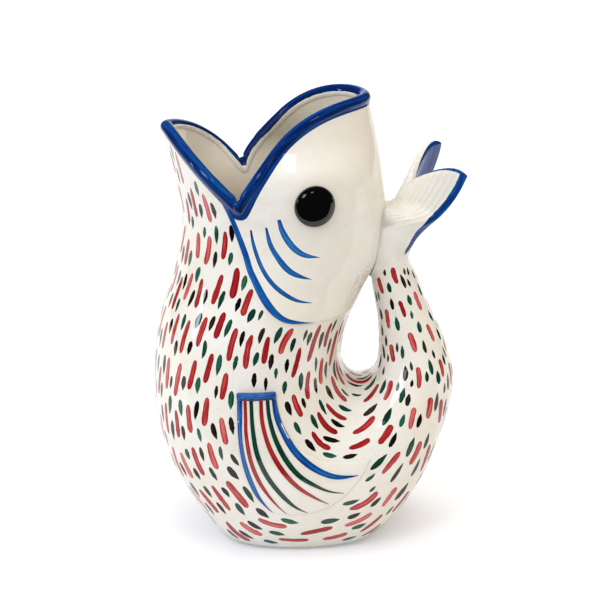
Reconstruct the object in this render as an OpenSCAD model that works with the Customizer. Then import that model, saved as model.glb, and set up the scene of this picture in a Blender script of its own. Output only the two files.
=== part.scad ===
// Gurgle jug: a fish bent into a U, its mouth the spout and its tail the hollow handle.
// Millimetres, +Z up. The origin is on the table under the middle of the foot.
// The fish looks along -X, its left side is -Y, and it is symmetric apart from the tail fin.

/* [Throat and head] */
// Height of the throat's waist above the table
neck_height = 176; // [165:1:187]
// Reach of the throat in front of the origin
neck_front = 60.5; // [56:0.5:68]
// Reach of the nape behind the origin
neck_back = 48.5; // [44:0.5:52]
// Width across the throat
neck_width = 93; // [84:1:102]
// Height of the lower lip's tip
lower_lip_height = 222; // [216:1:232]
// Reach of the lower lip's tip in front of the origin
lower_lip_reach = 70; // [66:0.5:76]
// Width of the lower jaw, where it flares
jaw_width = 112; // [100:1:120]
// Height of the upper lip's back end
upper_lip_height = 239; // [232:1:250]
// Reach of the upper lip's back end behind the origin
upper_lip_reach = 39.5; // [36:0.5:46]
// Width of the upper jaw, at the top
upper_jaw_width = 67; // [56:1:76]
// Height of the mouth's corners
corner_height = 189.5; // [186:0.5:194]
// Reach of the mouth's corners in front of the origin
corner_reach = 29.5; // [26:0.5:34]

/* [Belly] */
// Reach of the belly in front of the origin
belly_front = 77; // [71:0.5:81]
// Height at which the belly is fullest
belly_height = 80; // [70:1:90]
// Width across the belly
belly_width = 120; // [108:1:130]
// Length of the flat under the belly
base_length = 78; // [70:1:84]
// Thickness of the fired wall
wall = 4.5; // [3.5:0.1:5.5]

/* [Tail] */
// Reach of the tail behind the origin
tail_back = 86.5; // [80:0.5:91]
// Height at which the tail reaches farthest back
tail_height = 81; // [74:1:88]
// Width across the tail, where it leaves the belly
tail_root_width = 72; // [62:1:80]
// Width across the tail, at its top
tail_top_width = 29; // [25:0.5:33]
// Front to back size of the tail's narrowest part
tail_depth = 25; // [22:0.5:28]

/* [Finger hole] */
// Height of the hole's lowest point
hole_bottom = 83.5; // [79:0.5:88]
// Height of the hole's top, where the tail meets the nape
hole_top = 138; // [134:1:142]
// Reach of the hole's front edge behind the origin
hole_front = 25; // [21:0.5:29]
// Widest opening of the hole
hole_width = 20.5; // [16:0.5:23]

/* [Lip bead] */
// Diameter of the rolled bead on the rim
bead_d = 6.8; // [5.6:0.1:8]

/* [Gill covers] */
// How far the gill covers' edges stand proud of the throat
gill_relief = 1.2; // [0.6:0.1:2]

/* [Eyes] */
// Diameter of an eye
eye_d = 22; // [16:0.5:26]
// How far an eye stands proud
eye_proud = 5; // [3:0.1:7]
// Reach of the eyes behind the origin
eye_x = 10.5; // [6:0.5:16]
// Height of the eyes
eye_z = 193.5; // [186:1:198]

/* [Side fins] */
// Reach in front of the origin of a side fin's front top corner
fin_front = 30.5; // [26:0.5:36]
// Height of a side fin's top edge
fin_top = 95.5; // [88:0.5:100]
// Width of a side fin along its top edge
fin_width = 20; // [16:0.5:24]
// Length of a side fin's front edge
fin_length = 72; // [64:1:78]
// How far a side fin's swept end reaches behind its top edge
fin_sweep = 51; // [44:1:58]
// Thickness of a side fin at its top edge
fin_thick = 3.8; // [3:0.1:5]

/* [Tail fin] */
// Reach of the tail fin's tips behind the origin
tip_back = 85; // [80:0.5:90]
// Distance between the tail fin's two tips
tip_span = 58; // [48:1:68]
// Height of the tail fin's tips
tip_height = 206; // [198:1:214]
// Reach of the notch between the lobes behind the origin
notch_back = 63.5; // [60:0.5:67]
// Height of the notch between the lobes
notch_height = 193; // [189:1:197]
// Thickness of the lobes
lobe_thick = 5; // [4:0.1:6.5]
// Turn of the tail fin about the upright, as the hand set it
fin_twist = 11; // [0:0.5:16]
// Lean of the tail fin to its left side
fin_lean = 3; // [0:0.5:6]

/* [Foot] */
// Height of the bare foot
foot_height = 1.5; // [1.2:0.1:3]
// Length of the foot
foot_length = 68; // [58:1:74]
// Width of the foot
foot_width = 76; // [66:1:80]

/* [Hidden] */

// Blending
function mix(a, b, u) = a + (b - a) * u;
function ease(u) = let (c = max(0, min(1, u))) c * c * (3 - 2 * c);
function unit(v) = v / norm(v);
function bow(p, u) = p[0] * pow(1 - u, 3) + 3 * p[1] * pow(1 - u, 2) * u
    + 3 * p[2] * (1 - u) * u * u + p[3] * pow(u, 3);
function hermite(a, da, b, db, u) = a * (1 + 2 * u) * pow(1 - u, 2) + da * u * pow(1 - u, 2)
    + b * (3 - 2 * u) * u * u - db * (1 - u) * u * u;

// Smooth curve through rows of [place, value], with its slopes from the neighbours
function slope_at(t, i) = let (a = max(i - 1, 0), b = min(i + 1, len(t) - 1))
    (t[b][1] - t[a][1]) / (t[b][0] - t[a][0]);
function span_at(t, x, i = 0) = i >= len(t) - 2 || x < t[i + 1][0] ? i : span_at(t, x, i + 1);
function curve(t, x) = let (i = span_at(t, x), w = t[i + 1][0] - t[i][0])
    hermite(t[i][1], slope_at(t, i) * w, t[i + 1][1], slope_at(t, i + 1) * w, (x - t[i][0]) / w);

// Smooth curve through a list of rows, at row number x
function row_slope(rows, i) = let (a = max(i - 1, 0), b = min(i + 1, len(rows) - 1))
    (rows[b] - rows[a]) / (b - a);
function blend_rows(rows, x) = let (i = max(0, min(floor(x), len(rows) - 2)))
    hermite(rows[i], row_slope(rows, i), rows[i + 1], row_slope(rows, i + 1), x - i);

// Upper body: sections are level ovals, from the belt up past the rim. The tables give its front,
// its back and its half width by height.
belt = hole_bottom + 0.633 * (hole_top - hole_bottom);
past_rim = 10;
table_low = belt - 25;
table_high = max(lower_lip_height, upper_lip_height) + past_rim;
chest = mix(belt, neck_height, 0.5);
nape_low = neck_height + 8;
lip_drop = lower_lip_height - neck_height;
front_line = [[table_low, 0.8 - belly_front], [belt, 3.2 - belly_front],
    [chest, -mix(neck_front, belly_front, 0.27)], [neck_height, -neck_front],
    [neck_height + 0.5 * lip_drop, -mix(neck_front, lower_lip_reach, 0.42)],
    [lower_lip_height, -lower_lip_reach], [table_high, -lower_lip_reach - 4]];
back_line = [[table_low, hole_front - 0.6], [belt, hole_front + 3.6],
    [mix(belt, hole_top, 0.5), mix(hole_front, neck_back, 0.32)],
    [hole_top, mix(hole_front, neck_back, 0.53)], [mix(hole_top, neck_height, 0.5), neck_back - 2.4],
    [nape_low, neck_back], [mix(nape_low, upper_lip_height, 0.45), mix(neck_back, upper_lip_reach, 0.33)],
    [upper_lip_height, upper_lip_reach], [table_high, upper_lip_reach - 1.5]];
width_line = [[table_low, belly_width / 2 - 1], [belt, mix(neck_width, belly_width, 0.68) / 2],
    [chest, mix(neck_width, belly_width, 0.24) / 2], [neck_height, neck_width / 2],
    [corner_height, neck_width / 2 + 0.8], [mix(corner_height, upper_lip_height, 0.36), neck_width / 2],
    [mix(corner_height, upper_lip_height, 0.68), mix(neck_width, upper_jaw_width, 0.7) / 2],
    [upper_lip_height, upper_jaw_width / 2], [table_high, upper_jaw_width / 2 - 1.5]];
// How much of the lower jaw's flare each height has
flare_line = [[belt, 0], [neck_height, 0], [corner_height, 0.15],
    [mix(corner_height, lower_lip_height, 0.6), 1], [table_high, 1]];
function mid_x(z) = (curve(front_line, z) + curve(back_line, z)) / 2;
function half_length(z) = (curve(back_line, z) - curve(front_line, z)) / 2;

// Turns around the oval are in degrees from the front, 90 on the left side and 180 at the nape
function from_front(t) = t > 180 ? 360 - t : t;
corner_turn = acos((mid_x(corner_height) + corner_reach) / half_length(corner_height));

// Half width at a height and a turn: the lower jaw flares and comes to a lip, the upper jaw narrows
jaw_blend = 28;
jaw_point = 0.6;
function jaw_share(t) = 1 - ease((from_front(t) - corner_turn) / jaw_blend + 0.5);
function half_width(z, t) = let (back = curve(width_line, z),
        jaw = max(back, mix(neck_width, jaw_width, curve(flare_line, z)) / 2),
        point = 1 - jaw_point * curve(flare_line, z) * pow(max(0, cos(t)), 8))
    mix(back, jaw, jaw_share(t)) * point;
function upper_skin(z, t) = [mid_x(z) - half_length(z) * cos(t), -half_width(z, t) * sin(t), z];

// Lower body and tail: sections fan out around the finger hole. Each row is the section's outer
// end x and z, its inner end x and z, its half width, and how square it is.
hole_mid = hole_front + hole_width;
foot_sink = 11;
half_belly = belly_width / 2;
half_root = tail_root_width / 2;
half_top = tail_top_width / 2;
full_square = 0.05;
belt_row = [curve(front_line, belt), belt, curve(back_line, belt), belt, curve(width_line, belt), 0];
lower_rows = [belt_row,
    [-belly_front, belly_height, hole_front, mix(hole_bottom, belt, 0.46), half_belly - 1, full_square / 2],
    [-0.905 * belly_front, 0.57 * belly_height, mix(hole_front, hole_mid, 0.08), mix(hole_bottom, belt, 0.22),
        half_belly, full_square],
    [-0.69 * belly_front, 0.21 * belly_height, mix(hole_front, hole_mid, 0.24), mix(hole_bottom, belt, 0.07),
        half_belly - 0.5, full_square],
    [5 - base_length / 2, -4, mix(hole_front, hole_mid, 0.41), hole_bottom + 0.4, half_belly - 1.5,
        full_square],
    [0, -foot_sink, mix(hole_front, hole_mid, 0.54), hole_bottom, half_belly - 4, full_square],
    [base_length / 2 - 2, -4, mix(hole_front, hole_mid, 0.67), hole_bottom + 0.7,
        mix(half_belly, half_root, 0.36), full_square],
    [0.71 * tail_back, 0.22 * tail_height, mix(hole_front, hole_mid, 0.81), mix(hole_bottom, belt, 0.09),
        mix(half_belly, half_root, 0.68), full_square],
    [0.895 * tail_back, 0.57 * tail_height, mix(hole_front, hole_mid, 0.93), mix(hole_bottom, belt, 0.22),
        half_root, full_square / 2],
    [tail_back, tail_height, hole_mid, mix(hole_bottom, belt, 0.44), mix(half_root, half_top, 0.42), 0],
    [0.94 * tail_back, mix(tail_height, hole_top, 0.44), hole_mid, mix(hole_bottom, hole_top, 0.42),
        mix(half_root, half_top, 0.74), 0],
    [hole_mid + 1.12 * tail_depth, mix(tail_height, hole_top, 0.74), hole_mid - 0.7,
        mix(hole_bottom, hole_top, 0.66), mix(half_root, half_top, 0.92), 0],
    [hole_mid - 3 + tail_depth, hole_top, hole_mid - 3, mix(hole_bottom, hole_top, 0.9), half_top, 0],
    [neck_back + 15.5, hole_top + 8, neck_back - 8, hole_top + 12, half_top - 0.5, 0],
    [neck_back + 13, hole_top + 15, neck_back - 5, hole_top + 40, half_top - 0.5, 0]];
// The tail's joint with the belly, and its end
join_row = 8;
end_row = len(lower_rows) - 1;

// The row before the belt carries the upper body's slopes on into the fan
belt_pace = 38;
function belt_slope(t) = (curve(t, belt + 1) - curve(t, belt - 1)) / 2;
before_belt = lower_rows[1]
    + belt_pace * [belt_slope(front_line), 1, belt_slope(back_line), 1, belt_slope(width_line), 0];
fan_rows = concat([before_belt], lower_rows);
function oval(t, square) = let (k = square * (1 + cos(t)) / 2)
    [(cos(t) - k * cos(3 * t)) / (1 - k), (sin(t) + k * sin(3 * t)) / (1 - k)];
function lower_skin(v, t) = let (r = blend_rows(fan_rows, v + 1), o = oval(t, r[5]), out = (1 + o[0]) / 2)
    [mix(r[2], r[0], out), -r[4] * o[1], max(foot_height, mix(r[3], r[1], out))];

// The whole outer skin: place v is below 0 from the belt up to the rim, and above 0 along the U
row_step = 10;
function row_of(z) = (belt - z) / row_step;
function skin(v, t) = v < 0 ? upper_skin(belt - row_step * v, t) : lower_skin(v, t);
function skin_normal(v, t) = unit(cross(skin(v + 0.02, t) - skin(v - 0.02, t),
    skin(v, t + 0.5) - skin(v, t - 0.5)));
function off_skin(v, t, d) = skin(v, t) + d * skin_normal(v, t);

// Finding the place on the skin that lies at distances a and b along the directions da and db
function seat_step(a, b, da, db, v, t) = let (p = skin(v, t), dv = (skin(v + 0.01, t) - p) * 100,
        dt = (skin(v, t + 0.1) - p) * 10, ea = a - p * da, eb = b - p * db,
        det = (dv * da) * (dt * db) - (dt * da) * (dv * db))
    [v + max(-1, min(1, (ea * (dt * db) - (dt * da) * eb) / det)),
     t + max(-15, min(15, ((dv * da) * eb - ea * (dv * db)) / det))];
function seat(a, b, da, db, v, t, steps = 6) = steps == 0 ? [v, t]
    : let (q = seat_step(a, b, da, db, v, t)) seat(a, b, da, db, q[0], q[1], steps - 1);

// The nape, which the tail's end is pressed against. The joint flares out in a fillet, wide on the
// two sides and tight above and below. A point p belongs to a loop around the middle m.
side_fillet = 8;
tight_fillet = 2.5;
function nape_x(y, z) = mid_x(z) + half_length(z) * sqrt(max(0, 1 - pow(y / half_width(z, 180), 2)));
function on_nape(p, m) = p.z < belt ? p : let (d = p.x - nape_x(p.y, p.z), way = unit(p - m),
        r = mix(tight_fillet, side_fillet, way.y * way.y), h = max(0, 1 - abs(d) / r),
        q = p + way * r * (1 - sqrt(1 - h * h)), nape = nape_x(q.y, q.z))
    [d < 0 ? nape : mix(max(q.x, nape), nape, h * h), q.y, q.z];

// The wall's top edge, seen from the side: two curved legs and a round corner between them
corner_round = 3.4;
corner_drop = 4.5;
lower_bend = 1.27;
upper_bend = 2.25;
low_corner = corner_height - corner_drop;
corner_scale = half_length(corner_height);
lower_run = corner_scale * (1 - cos(corner_turn));
upper_run = corner_scale * (1 + cos(corner_turn));
lower_rise = lower_lip_height - low_corner;
upper_rise = upper_lip_height - low_corner;
lower_slope = lower_bend * lower_rise / lower_run;
upper_slope = upper_bend * upper_rise / upper_run;
lower_tilt = sqrt(1 + lower_slope * lower_slope);
upper_tilt = sqrt(1 + upper_slope * upper_slope);
round_x = corner_round * (lower_tilt - upper_tilt) / (lower_slope + upper_slope);
round_z = corner_round * lower_tilt - lower_slope * round_x;
lower_touch = corner_round * lower_slope / lower_tilt - round_x;
upper_touch = corner_round * upper_slope / upper_tilt + round_x;
function leg(s, run, rise, bend) = rise * (1 - pow(1 - s / run, bend));
function leg_from(s, touch, slope, run, rise, bend) = leg(s, run, rise, bend)
    + (slope * touch - leg(touch, run, rise, bend)) * pow(1 - (s - touch) / (run - touch), 3);
function rim_height(t) = let (s = corner_scale * (cos(corner_turn) - cos(t))) low_corner + (
    s < -lower_touch ? leg_from(-s, lower_touch, lower_slope, lower_run, lower_rise, lower_bend)
    : s > upper_touch ? leg_from(s, upper_touch, upper_slope, upper_run, upper_rise, upper_bend)
    : round_z - sqrt(max(0, pow(corner_round, 2) - pow(s - round_x, 2))));
function rim_point(t, d) = off_skin(row_of(rim_height(t)), t, d);

// Height of the gill covers' lower edge around the throat, from the rim to the nape
gill_start = corner_turn - 10;
gill_low = 130;
gill_line = [[gill_start, rim_height(gill_start)], [corner_turn - 4, mix(gill_low, corner_height, 0.82)],
    [corner_turn + 2, mix(gill_low, corner_height, 0.61)],
    [corner_turn + 7, mix(gill_low, corner_height, 0.45)], [corner_turn + 20, gill_low + 12],
    [corner_turn + 35, gill_low + 2.5], [corner_turn + 50, gill_low], [180, gill_low - 2]];
gill_fade = 16;
function has_gill(t) = from_front(t) > gill_start + 0.01;
function gill_height(t) = curve(gill_line, from_front(t));
function gill_edge(t, z) = gill_relief * (1 - ease((z - gill_height(t)) / gill_fade))
    * ease((from_front(t) - gill_start) / 12) * ease((180 - from_front(t)) / 30);

// Columns around the oval, closer together at the mouth's corners
front_columns = 6;
gill_columns = 4;
back_columns = 14;
half_turns = concat(
    [for (i = [0 : front_columns - 1]) gill_start * (1 - pow(1 - i / front_columns, 1.1))],
    [for (i = [0 : gill_columns - 1]) corner_turn - 10 * pow(1 - i / gill_columns, 1.3)],
    [for (i = [0 : back_columns]) corner_turn + (180 - corner_turn) * pow(i / back_columns, 1.4)]);
turns = concat(half_turns, [for (i = [len(half_turns) - 2 : -1 : 1]) 360 - half_turns[i]]);
columns = len(turns);

// Meshes made of closed loops of points: loops in a ring, or in a stack with closed ends
function loop_quads(loops, n, wrap) = [for (j = [0 : loops - (wrap ? 1 : 2)]) for (i = [0 : n - 1])
    let (k = (i + 1) % n, here = j * n, next = ((j + 1) % loops) * n)
    each [[here + i, here + k, next + k], [here + i, next + k, next + i]]];
module ring_of_loops(loops) {
    polyhedron([for (l = loops) each l], loop_quads(len(loops), len(loops[0]), true), convexity = 8);
}
function middle(points) = [for (p = points) 1 / len(points)] * points;
module stack_of_loops(loops, first, last) {
    n = len(loops[0]);
    far = (len(loops) - 1) * n;
    tip = len(loops) * n;
    polyhedron(concat([for (l = loops) each l], [first, last]),
        concat(loop_quads(len(loops), n, false), [for (i = [0 : n - 1]) [tip, (i + 1) % n, i]],
            [for (i = [0 : n - 1]) [tip + 1, far + i, far + (i + 1) % n]]), convexity = 8);
}

// Belly: the lower jaw, the throat and the fish's body, as far as the tail's joint
function top_row(t) = row_of(has_gill(t) ? gill_height(t) : rim_height(t));
function belly_rows(t, upper, lower) = concat(
    [for (i = [0 : upper - 1]) mix(top_row(t), 0, i / upper)],
    [for (i = [0 : join_row * lower]) i / lower]);
module belly() {
    color("ivory") ring_of_loops([for (t = turns) let (inside = belly_rows(t, 5, 2),
            outside = belly_rows(t, 8, 3)) concat([for (v = inside) off_skin(v, t, -wall)],
        [for (i = [len(outside) - 1 : -1 : 0]) skin(outside[i], t)])]);
}

// Head: the upper jaw with both gill covers, its edge standing proud of the throat
head_rows = 10;
head_turns = [for (t = turns) if (has_gill(t)) t];
function head_height(t, i) = mix(rim_height(t), gill_height(t), i / head_rows);
function head_loop(t) = concat(
    [for (i = [0 : head_rows]) off_skin(row_of(head_height(t, i)), t, -wall)],
    [for (i = [head_rows : -1 : 0]) let (z = head_height(t, i)) off_skin(row_of(z), t, gill_edge(t, z))]);
// The wedge where a gill cover meets the rim closes on two points, one inside and one outside.
// Its faces join them to the loop that starts at point b.
function wedge(b, inner, outer, half, flip) = let (faces = concat(
        [for (i = [0 : half - 2]) each [[inner, b + i, b + i + 1], [outer, b + half + i, b + half + i + 1]]],
        [[inner, b + 2 * half - 1, b], [inner, outer, b + 2 * half - 1],
         [inner, b + half - 1, b + half], [inner, b + half, outer]]))
    flip ? [for (f = faces) [f[0], f[2], f[1]]] : faces;
module head() {
    loops = [for (t = head_turns) head_loop(t)];
    half = head_rows + 1;
    tip = len(loops) * 2 * half;
    tips = [for (t = [gill_start, 360 - gill_start]) each [rim_point(t, -wall), rim_point(t, 0)]];
    color("ivory") polyhedron(concat([for (l = loops) each l], tips),
        concat(loop_quads(len(loops), 2 * half, false), wedge(0, tip, tip + 1, half, true),
            wedge(tip - 2 * half, tip + 2, tip + 3, half, false)), convexity = 8);
}

// Lip bead: a roll of clay seated on the wall's top edge
bead_sides = 9;
bead_seat = asin(wall / bead_d);
bead_lift = cos(bead_seat) * bead_d / 2;
// Out of the wall at a turn, along its top edge, and up from that edge
function bead_out(t) = unit(rim_point(t, 0) - rim_point(t, -wall));
function bead_way(t) = unit(rim_point(t + 1, -wall / 2) - rim_point(t - 1, -wall / 2));
function bead_up(t) = unit(cross(bead_out(t), bead_way(t)));
// At a mouth's corner the two legs of the bead meet in a mitre: each loop leans away from the corner,
// and the less the farther it is from it
leg_turn = 5;
corner_dip = 0.2;
corner_cut = acos(bead_up(corner_turn - leg_turn) * bead_up(corner_turn + leg_turn)) / 2;
mitre = unit(bead_up(corner_turn - leg_turn) + bead_up(corner_turn + leg_turn)) / cos(corner_cut);
function bead_rise(t, h) = let (past = from_front(t) - corner_turn, side = past < 0 ? -1 : 1, far = t > 180,
        leg = corner_turn + side * max(leg_turn, abs(past)), near = far ? 360 - leg : leg,
        away = bead_way(near) * (far ? -side : side), corner = far ? 360 - corner_turn : corner_turn,
        run = norm(rim_point(t, -wall / 2) - rim_point(corner, -wall / 2)), a = run / max(h, 0.1),
        lean = bead_up(near) + away * (sqrt(a * a + pow(tan(corner_cut), 2)) - a))
    h * mix(lean, far ? [mitre.x, -mitre.y, mitre.z] : mitre, 1 - ease(run / 3))
        * (1 - corner_dip * (1 - ease(run / 5)));
function bead_loop(t) = let (a = rim_point(t, 0), b = rim_point(t, -wall))
    [for (i = [0 : bead_sides]) let (g = mix(180 - bead_seat, bead_seat - 180, i / bead_sides))
        (a + b) / 2 + bead_out(t) * sin(g) * bead_d / 2 + bead_rise(t, bead_lift + cos(g) * bead_d / 2)];
module lip_bead() {
    color("royalblue") ring_of_loops([for (t = turns) bead_loop(t)]);
}

// Tail: the hollow handle, open to the belly below and closed where it meets the nape
cavity_end = end_row - 2;
function tail_middle(v) = let (r = blend_rows(fan_rows, v + 1)) [(r[0] + r[2]) / 2, 0, (r[1] + r[3]) / 2];
function tail_loop(v) = let (m = tail_middle(v)) [for (t = turns) on_nape(skin(v, t), m)];
module tail() {
    shell = [for (i = [0 : (end_row - join_row) * 3]) tail_loop(join_row + i / 3)];
    hollow = [for (i = [(cavity_end - join_row) * 2 : -1 : 0])
        [for (t = turns) off_skin(join_row + i / 2, t, -wall)]];
    color("ivory") stack_of_loops(concat(hollow, shell), middle(hollow[0]), middle(shell[len(shell) - 1]));
}

// Tail fin: two lobes that grow out of the tail's end, folded to a chevron and set a little askew.
// Along it w runs from 0 at the tail to 1 at the trailing edge, and across it side runs from 1 at the
// left lobe's outer edge to -1 at the right one's.
fin_rows = 10;
root_row = lower_rows[end_row];
root_mid = [(root_row[0] + root_row[2]) / 2, 0, (root_row[1] + root_row[3]) / 2];
root_up = [root_row[2] - root_row[0], 0, root_row[3] - root_row[1]];
function twist(p, a) = [root_mid.x + (p.x - root_mid.x) * cos(a) - p.y * sin(a),
    (p.x - root_mid.x) * sin(a) + p.y * cos(a), p.z + p.y * tan(a * fin_lean / max(1, fin_twist))];
trailing_edge = [[notch_back, 0, notch_height], [notch_back + 4, -0.42 * tip_span / 2, notch_height + 8],
    [tip_back - 8, -0.8 * tip_span / 2, tip_height + 8], [tip_back + 1, -tip_span / 2, tip_height - 1]];
function trailing(side) = let (p = bow(trailing_edge, abs(side))) [p.x, sign(side) * p.y, p.z];
fold_rise = 3;
edge_bow = 4.2;
function fin_middle(side, w) = let (root = root_mid - [0, side * half_top, 0],
        lift = fold_rise * (1 - abs(side)) - edge_bow * abs(side))
    twist(mix(root, trailing(side), w) + 4 * w * (1 - w) * [-lift, 0, lift], fin_twist * ease(w / 0.5));
function fin_face(side, w) = let (e = 0.02, s = max(e - 1, min(1 - e, side)))
    unit(cross(fin_middle(s + e, w) - fin_middle(s - e, w), fin_middle(s, w + e) - fin_middle(s, w - e)));
function fin_half(w) = mix(norm(root_up), lobe_thick, ease(w / 0.55)) / 2
    * sqrt(1 - 0.75 * pow(max(0, 10 * w - 9), 2));
function fin_loop(w) = [for (t = turns)
    let (edge = mix(1, 0.5, ease(w / 0.55)), lift = -sign(cos(t)) * pow(abs(cos(t)), edge),
        way = unit(mix(unit(root_up), fin_face(sin(t), w), ease(w / 0.5))))
    on_nape(fin_middle(sin(t), w) + fin_half(w) * lift * way, fin_middle(0, w))];
// A strip of triangles between two rows of columns, a and b, that both run from side -1 to side 1
function zip(a, b, i = 0, j = 0) = i == len(a) - 1 && j == len(b) - 1 ? []
    : j == len(b) - 1 || (i < len(a) - 1 && sin(turns[a[i + 1]]) < sin(turns[b[j + 1]]))
        ? concat([[a[i], a[i + 1], b[j]]], zip(a, b, i + 1, j))
        : concat([[a[i], b[j + 1], b[j]]], zip(a, b, i, j + 1));
module tail_fin() {
    loops = concat([tail_loop(end_row)], [for (i = [1 : fin_rows]) fin_loop(1 - pow(1 - i / fin_rows, 1.4))]);
    last = fin_rows * columns;
    under = concat([for (i = [0 : columns - 1]) if (turns[i] >= 270) last + i],
        [for (i = [0 : columns - 1]) if (turns[i] < 90) last + i]);
    over = [for (i = [columns - 1 : -1 : 0]) if (turns[i] >= 90 && turns[i] < 270) last + i];
    low = [for (i = under) i - last];
    high = [for (i = over) i - last];
    color("ivory") polyhedron(concat([for (l = loops) each l], [middle(loops[0])]),
        concat(loop_quads(fin_rows + 1, columns, false),
            [for (i = [0 : columns - 1]) [last + columns, (i + 1) % columns, i]],
            [for (f = zip(low, high)) [for (i = f) i + last]]), convexity = 8);
}

// Side fins: clay laid on the belly, thick at a rolled top edge and thin at the swept end.
// Across a fin u runs from 0 at its front edge to 1 at its back edge, and w runs down it from 0 to 1.
fin_back = fin_width - fin_front;
fin_low = fin_top - fin_length;
fin_roll = 2.8;
fin_sheet = 0.55;
fin_thin = 0.9;
fin_edge = 0.3;
front_edge = [[-fin_front, fin_top], [-fin_front, fin_top - 0.42 * fin_length],
    [0.06 * fin_sweep - fin_front, fin_top - 0.77 * fin_length], [0.37 * fin_sweep - fin_front, fin_low + 3]];
back_edge = [[fin_back, fin_top], [fin_back + 0.06 * fin_sweep, fin_top - 0.42 * fin_length],
    [fin_back + 0.35 * fin_sweep, fin_top - 0.63 * fin_length],
    [fin_back + fin_sweep, fin_top - 0.57 * fin_length]];
end_bow = [0.09 * fin_sweep, -0.15 * fin_length];
fin_bulge = 0.3;
function roll_round(w) = sqrt(max(0, 1 - pow(2 * w * fin_length / fin_roll - 1, 2)));
function fin_outline(u, w) = mix(bow(front_edge, w), bow(back_edge, w), u)
    + end_bow * 4 * u * (1 - u) * pow(w, 4) + [(2 * u - 1) * fin_bulge * roll_round(w), 0];
function fin_height(u, w) = let (d = w * fin_length, across = sqrt(1 - pow(abs(2 * u - 1), 5)),
        roll = roll_round(w),
        sheet = d > fin_roll / 2 ? mix(fin_sheet * fin_thick, fin_thin, ease(w)) * sqrt(1 - pow(w, 8)) : 0)
    fin_edge + across * max(fin_thick * roll, sheet);
fin_places = concat([for (i = [0 : 5]) fin_roll / fin_length * (1 - cos(36 * i)) / 2],
    [for (i = [1 : 10]) mix(fin_roll / fin_length, 1, i / 10)]);
fin_columns = 10;
function fin_spots(u) = [for (w = fin_places) let (q = fin_outline(u, w))
    concat(seat(q[0], q[1], [1, 0, 0], [0, 0, 1], 2, 80), fin_height(u, w))];
module side_fin_left() {
    lines = [for (i = [0 : fin_columns]) fin_spots((1 - cos(180 * i / fin_columns)) / 2)];
    half = len(fin_places);
    far = fin_columns * 2 * half;
    top = 2 * half - 1;
    color("ivory") polyhedron([for (line = lines) each concat([for (q = line) skin(q[0], q[1])],
            [for (i = [half - 1 : -1 : 0]) off_skin(line[i][0], line[i][1], line[i][2])])],
        concat(loop_quads(fin_columns + 1, 2 * half, false),
            [for (i = [0 : half - 2]) each [[i + 1, i, top - i], [i + 1, top - i, top - i - 1],
                [far + i, far + i + 1, far + top - i], [far + i + 1, far + top - i - 1, far + top - i]]]),
        convexity = 8);
}
module side_fin_right() mirror([0, 1, 0]) side_fin_left();

// Eyes: glossy domes, each with its back shaped to the head
eye_rings = 5;
eye_sides = 24;
eye_rim = 0.9;
eye_place = seat(eye_x, eye_z, [1, 0, 0], [0, 0, 1], row_of(eye_z), 100);
function dome(u) = pow(max(0, 1 - pow(u, 2.6)), 0.55);
module eye_left() {
    centre = skin(eye_place[0], eye_place[1]);
    out = skin_normal(eye_place[0], eye_place[1]);
    across = unit(cross([0, 0, 1], out));
    upward = cross(out, across);
    shares = [for (i = [0 : eye_rings - 1]) 1 - pow(i / eye_rings, 1.7)];
    backs = [for (u = shares) [for (j = [0 : eye_sides - 1])
        let (r = u * eye_d / 2, g = j * 360 / eye_sides,
            q = seat(centre * across + r * cos(g), centre * upward + r * sin(g), across, upward,
                eye_place[0], eye_place[1])) skin(q[0], q[1])]];
    tops = [for (i = [eye_rings - 1 : -1 : 0])
        [for (p = backs[i]) p + out * mix(eye_rim, eye_proud, dome(shares[i]))]];
    color("black") stack_of_loops(concat(tops, backs), centre + out * eye_proud, centre);
}
module eye_right() mirror([0, 1, 0]) eye_left();

// Foot: the flat oval of bare clay that the jug stands on
module foot() {
    color("tan") linear_extrude(foot_height)
        polygon([for (i = [0 : 71]) [foot_length / 2 * cos(5 * i), foot_width / 2 * sin(5 * i)]]);
}

belly();
head();
lip_bead();
tail();
tail_fin();
side_fin_left();
side_fin_right();
eye_left();
eye_right();
foot();
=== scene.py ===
# %% [markdown]
# # A gurgle jug
# The jug is a fish bent into a U. Its open mouth is the spout and its tail is the hollow handle,
# which traps the air that makes the jug gurgle. It is earthenware, cast from slip, painted by brush
# with underglaze colours and dipped in a clear glossy glaze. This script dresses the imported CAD
# model: fine meshes stand for its nodes, and paint, glaze and light are added. Lengths are in
# millimetres until a mesh is made, +Z is up, and the fish looks along -X.

import bpy
import numpy as np
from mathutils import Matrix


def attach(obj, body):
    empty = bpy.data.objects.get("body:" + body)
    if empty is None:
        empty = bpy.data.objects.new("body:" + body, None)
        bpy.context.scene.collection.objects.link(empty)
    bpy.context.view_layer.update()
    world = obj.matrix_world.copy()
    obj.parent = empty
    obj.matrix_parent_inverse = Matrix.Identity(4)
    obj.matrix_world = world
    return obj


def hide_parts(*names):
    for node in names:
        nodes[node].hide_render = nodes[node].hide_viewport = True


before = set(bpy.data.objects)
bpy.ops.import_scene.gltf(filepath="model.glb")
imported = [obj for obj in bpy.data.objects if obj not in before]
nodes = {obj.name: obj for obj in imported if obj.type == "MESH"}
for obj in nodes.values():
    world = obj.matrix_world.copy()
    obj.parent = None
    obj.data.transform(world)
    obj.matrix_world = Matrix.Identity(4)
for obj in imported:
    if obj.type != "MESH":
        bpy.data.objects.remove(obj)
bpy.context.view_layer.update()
MM = 0.001
print("CAD nodes:", sorted(nodes))

# %% [markdown]
# The body's form is a rule and not a list of points: ovals in level planes above the belt, and
# ovals that fan out around the finger hole below it. The CAD model follows the same rule with
# coarse facets. Asking the rule for many more points gives the smooth cast form, with every
# dimension as it is in the CAD. A subdivision surface would be shorter to write, but it would
# shrink the form and lose the exact places.

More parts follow.
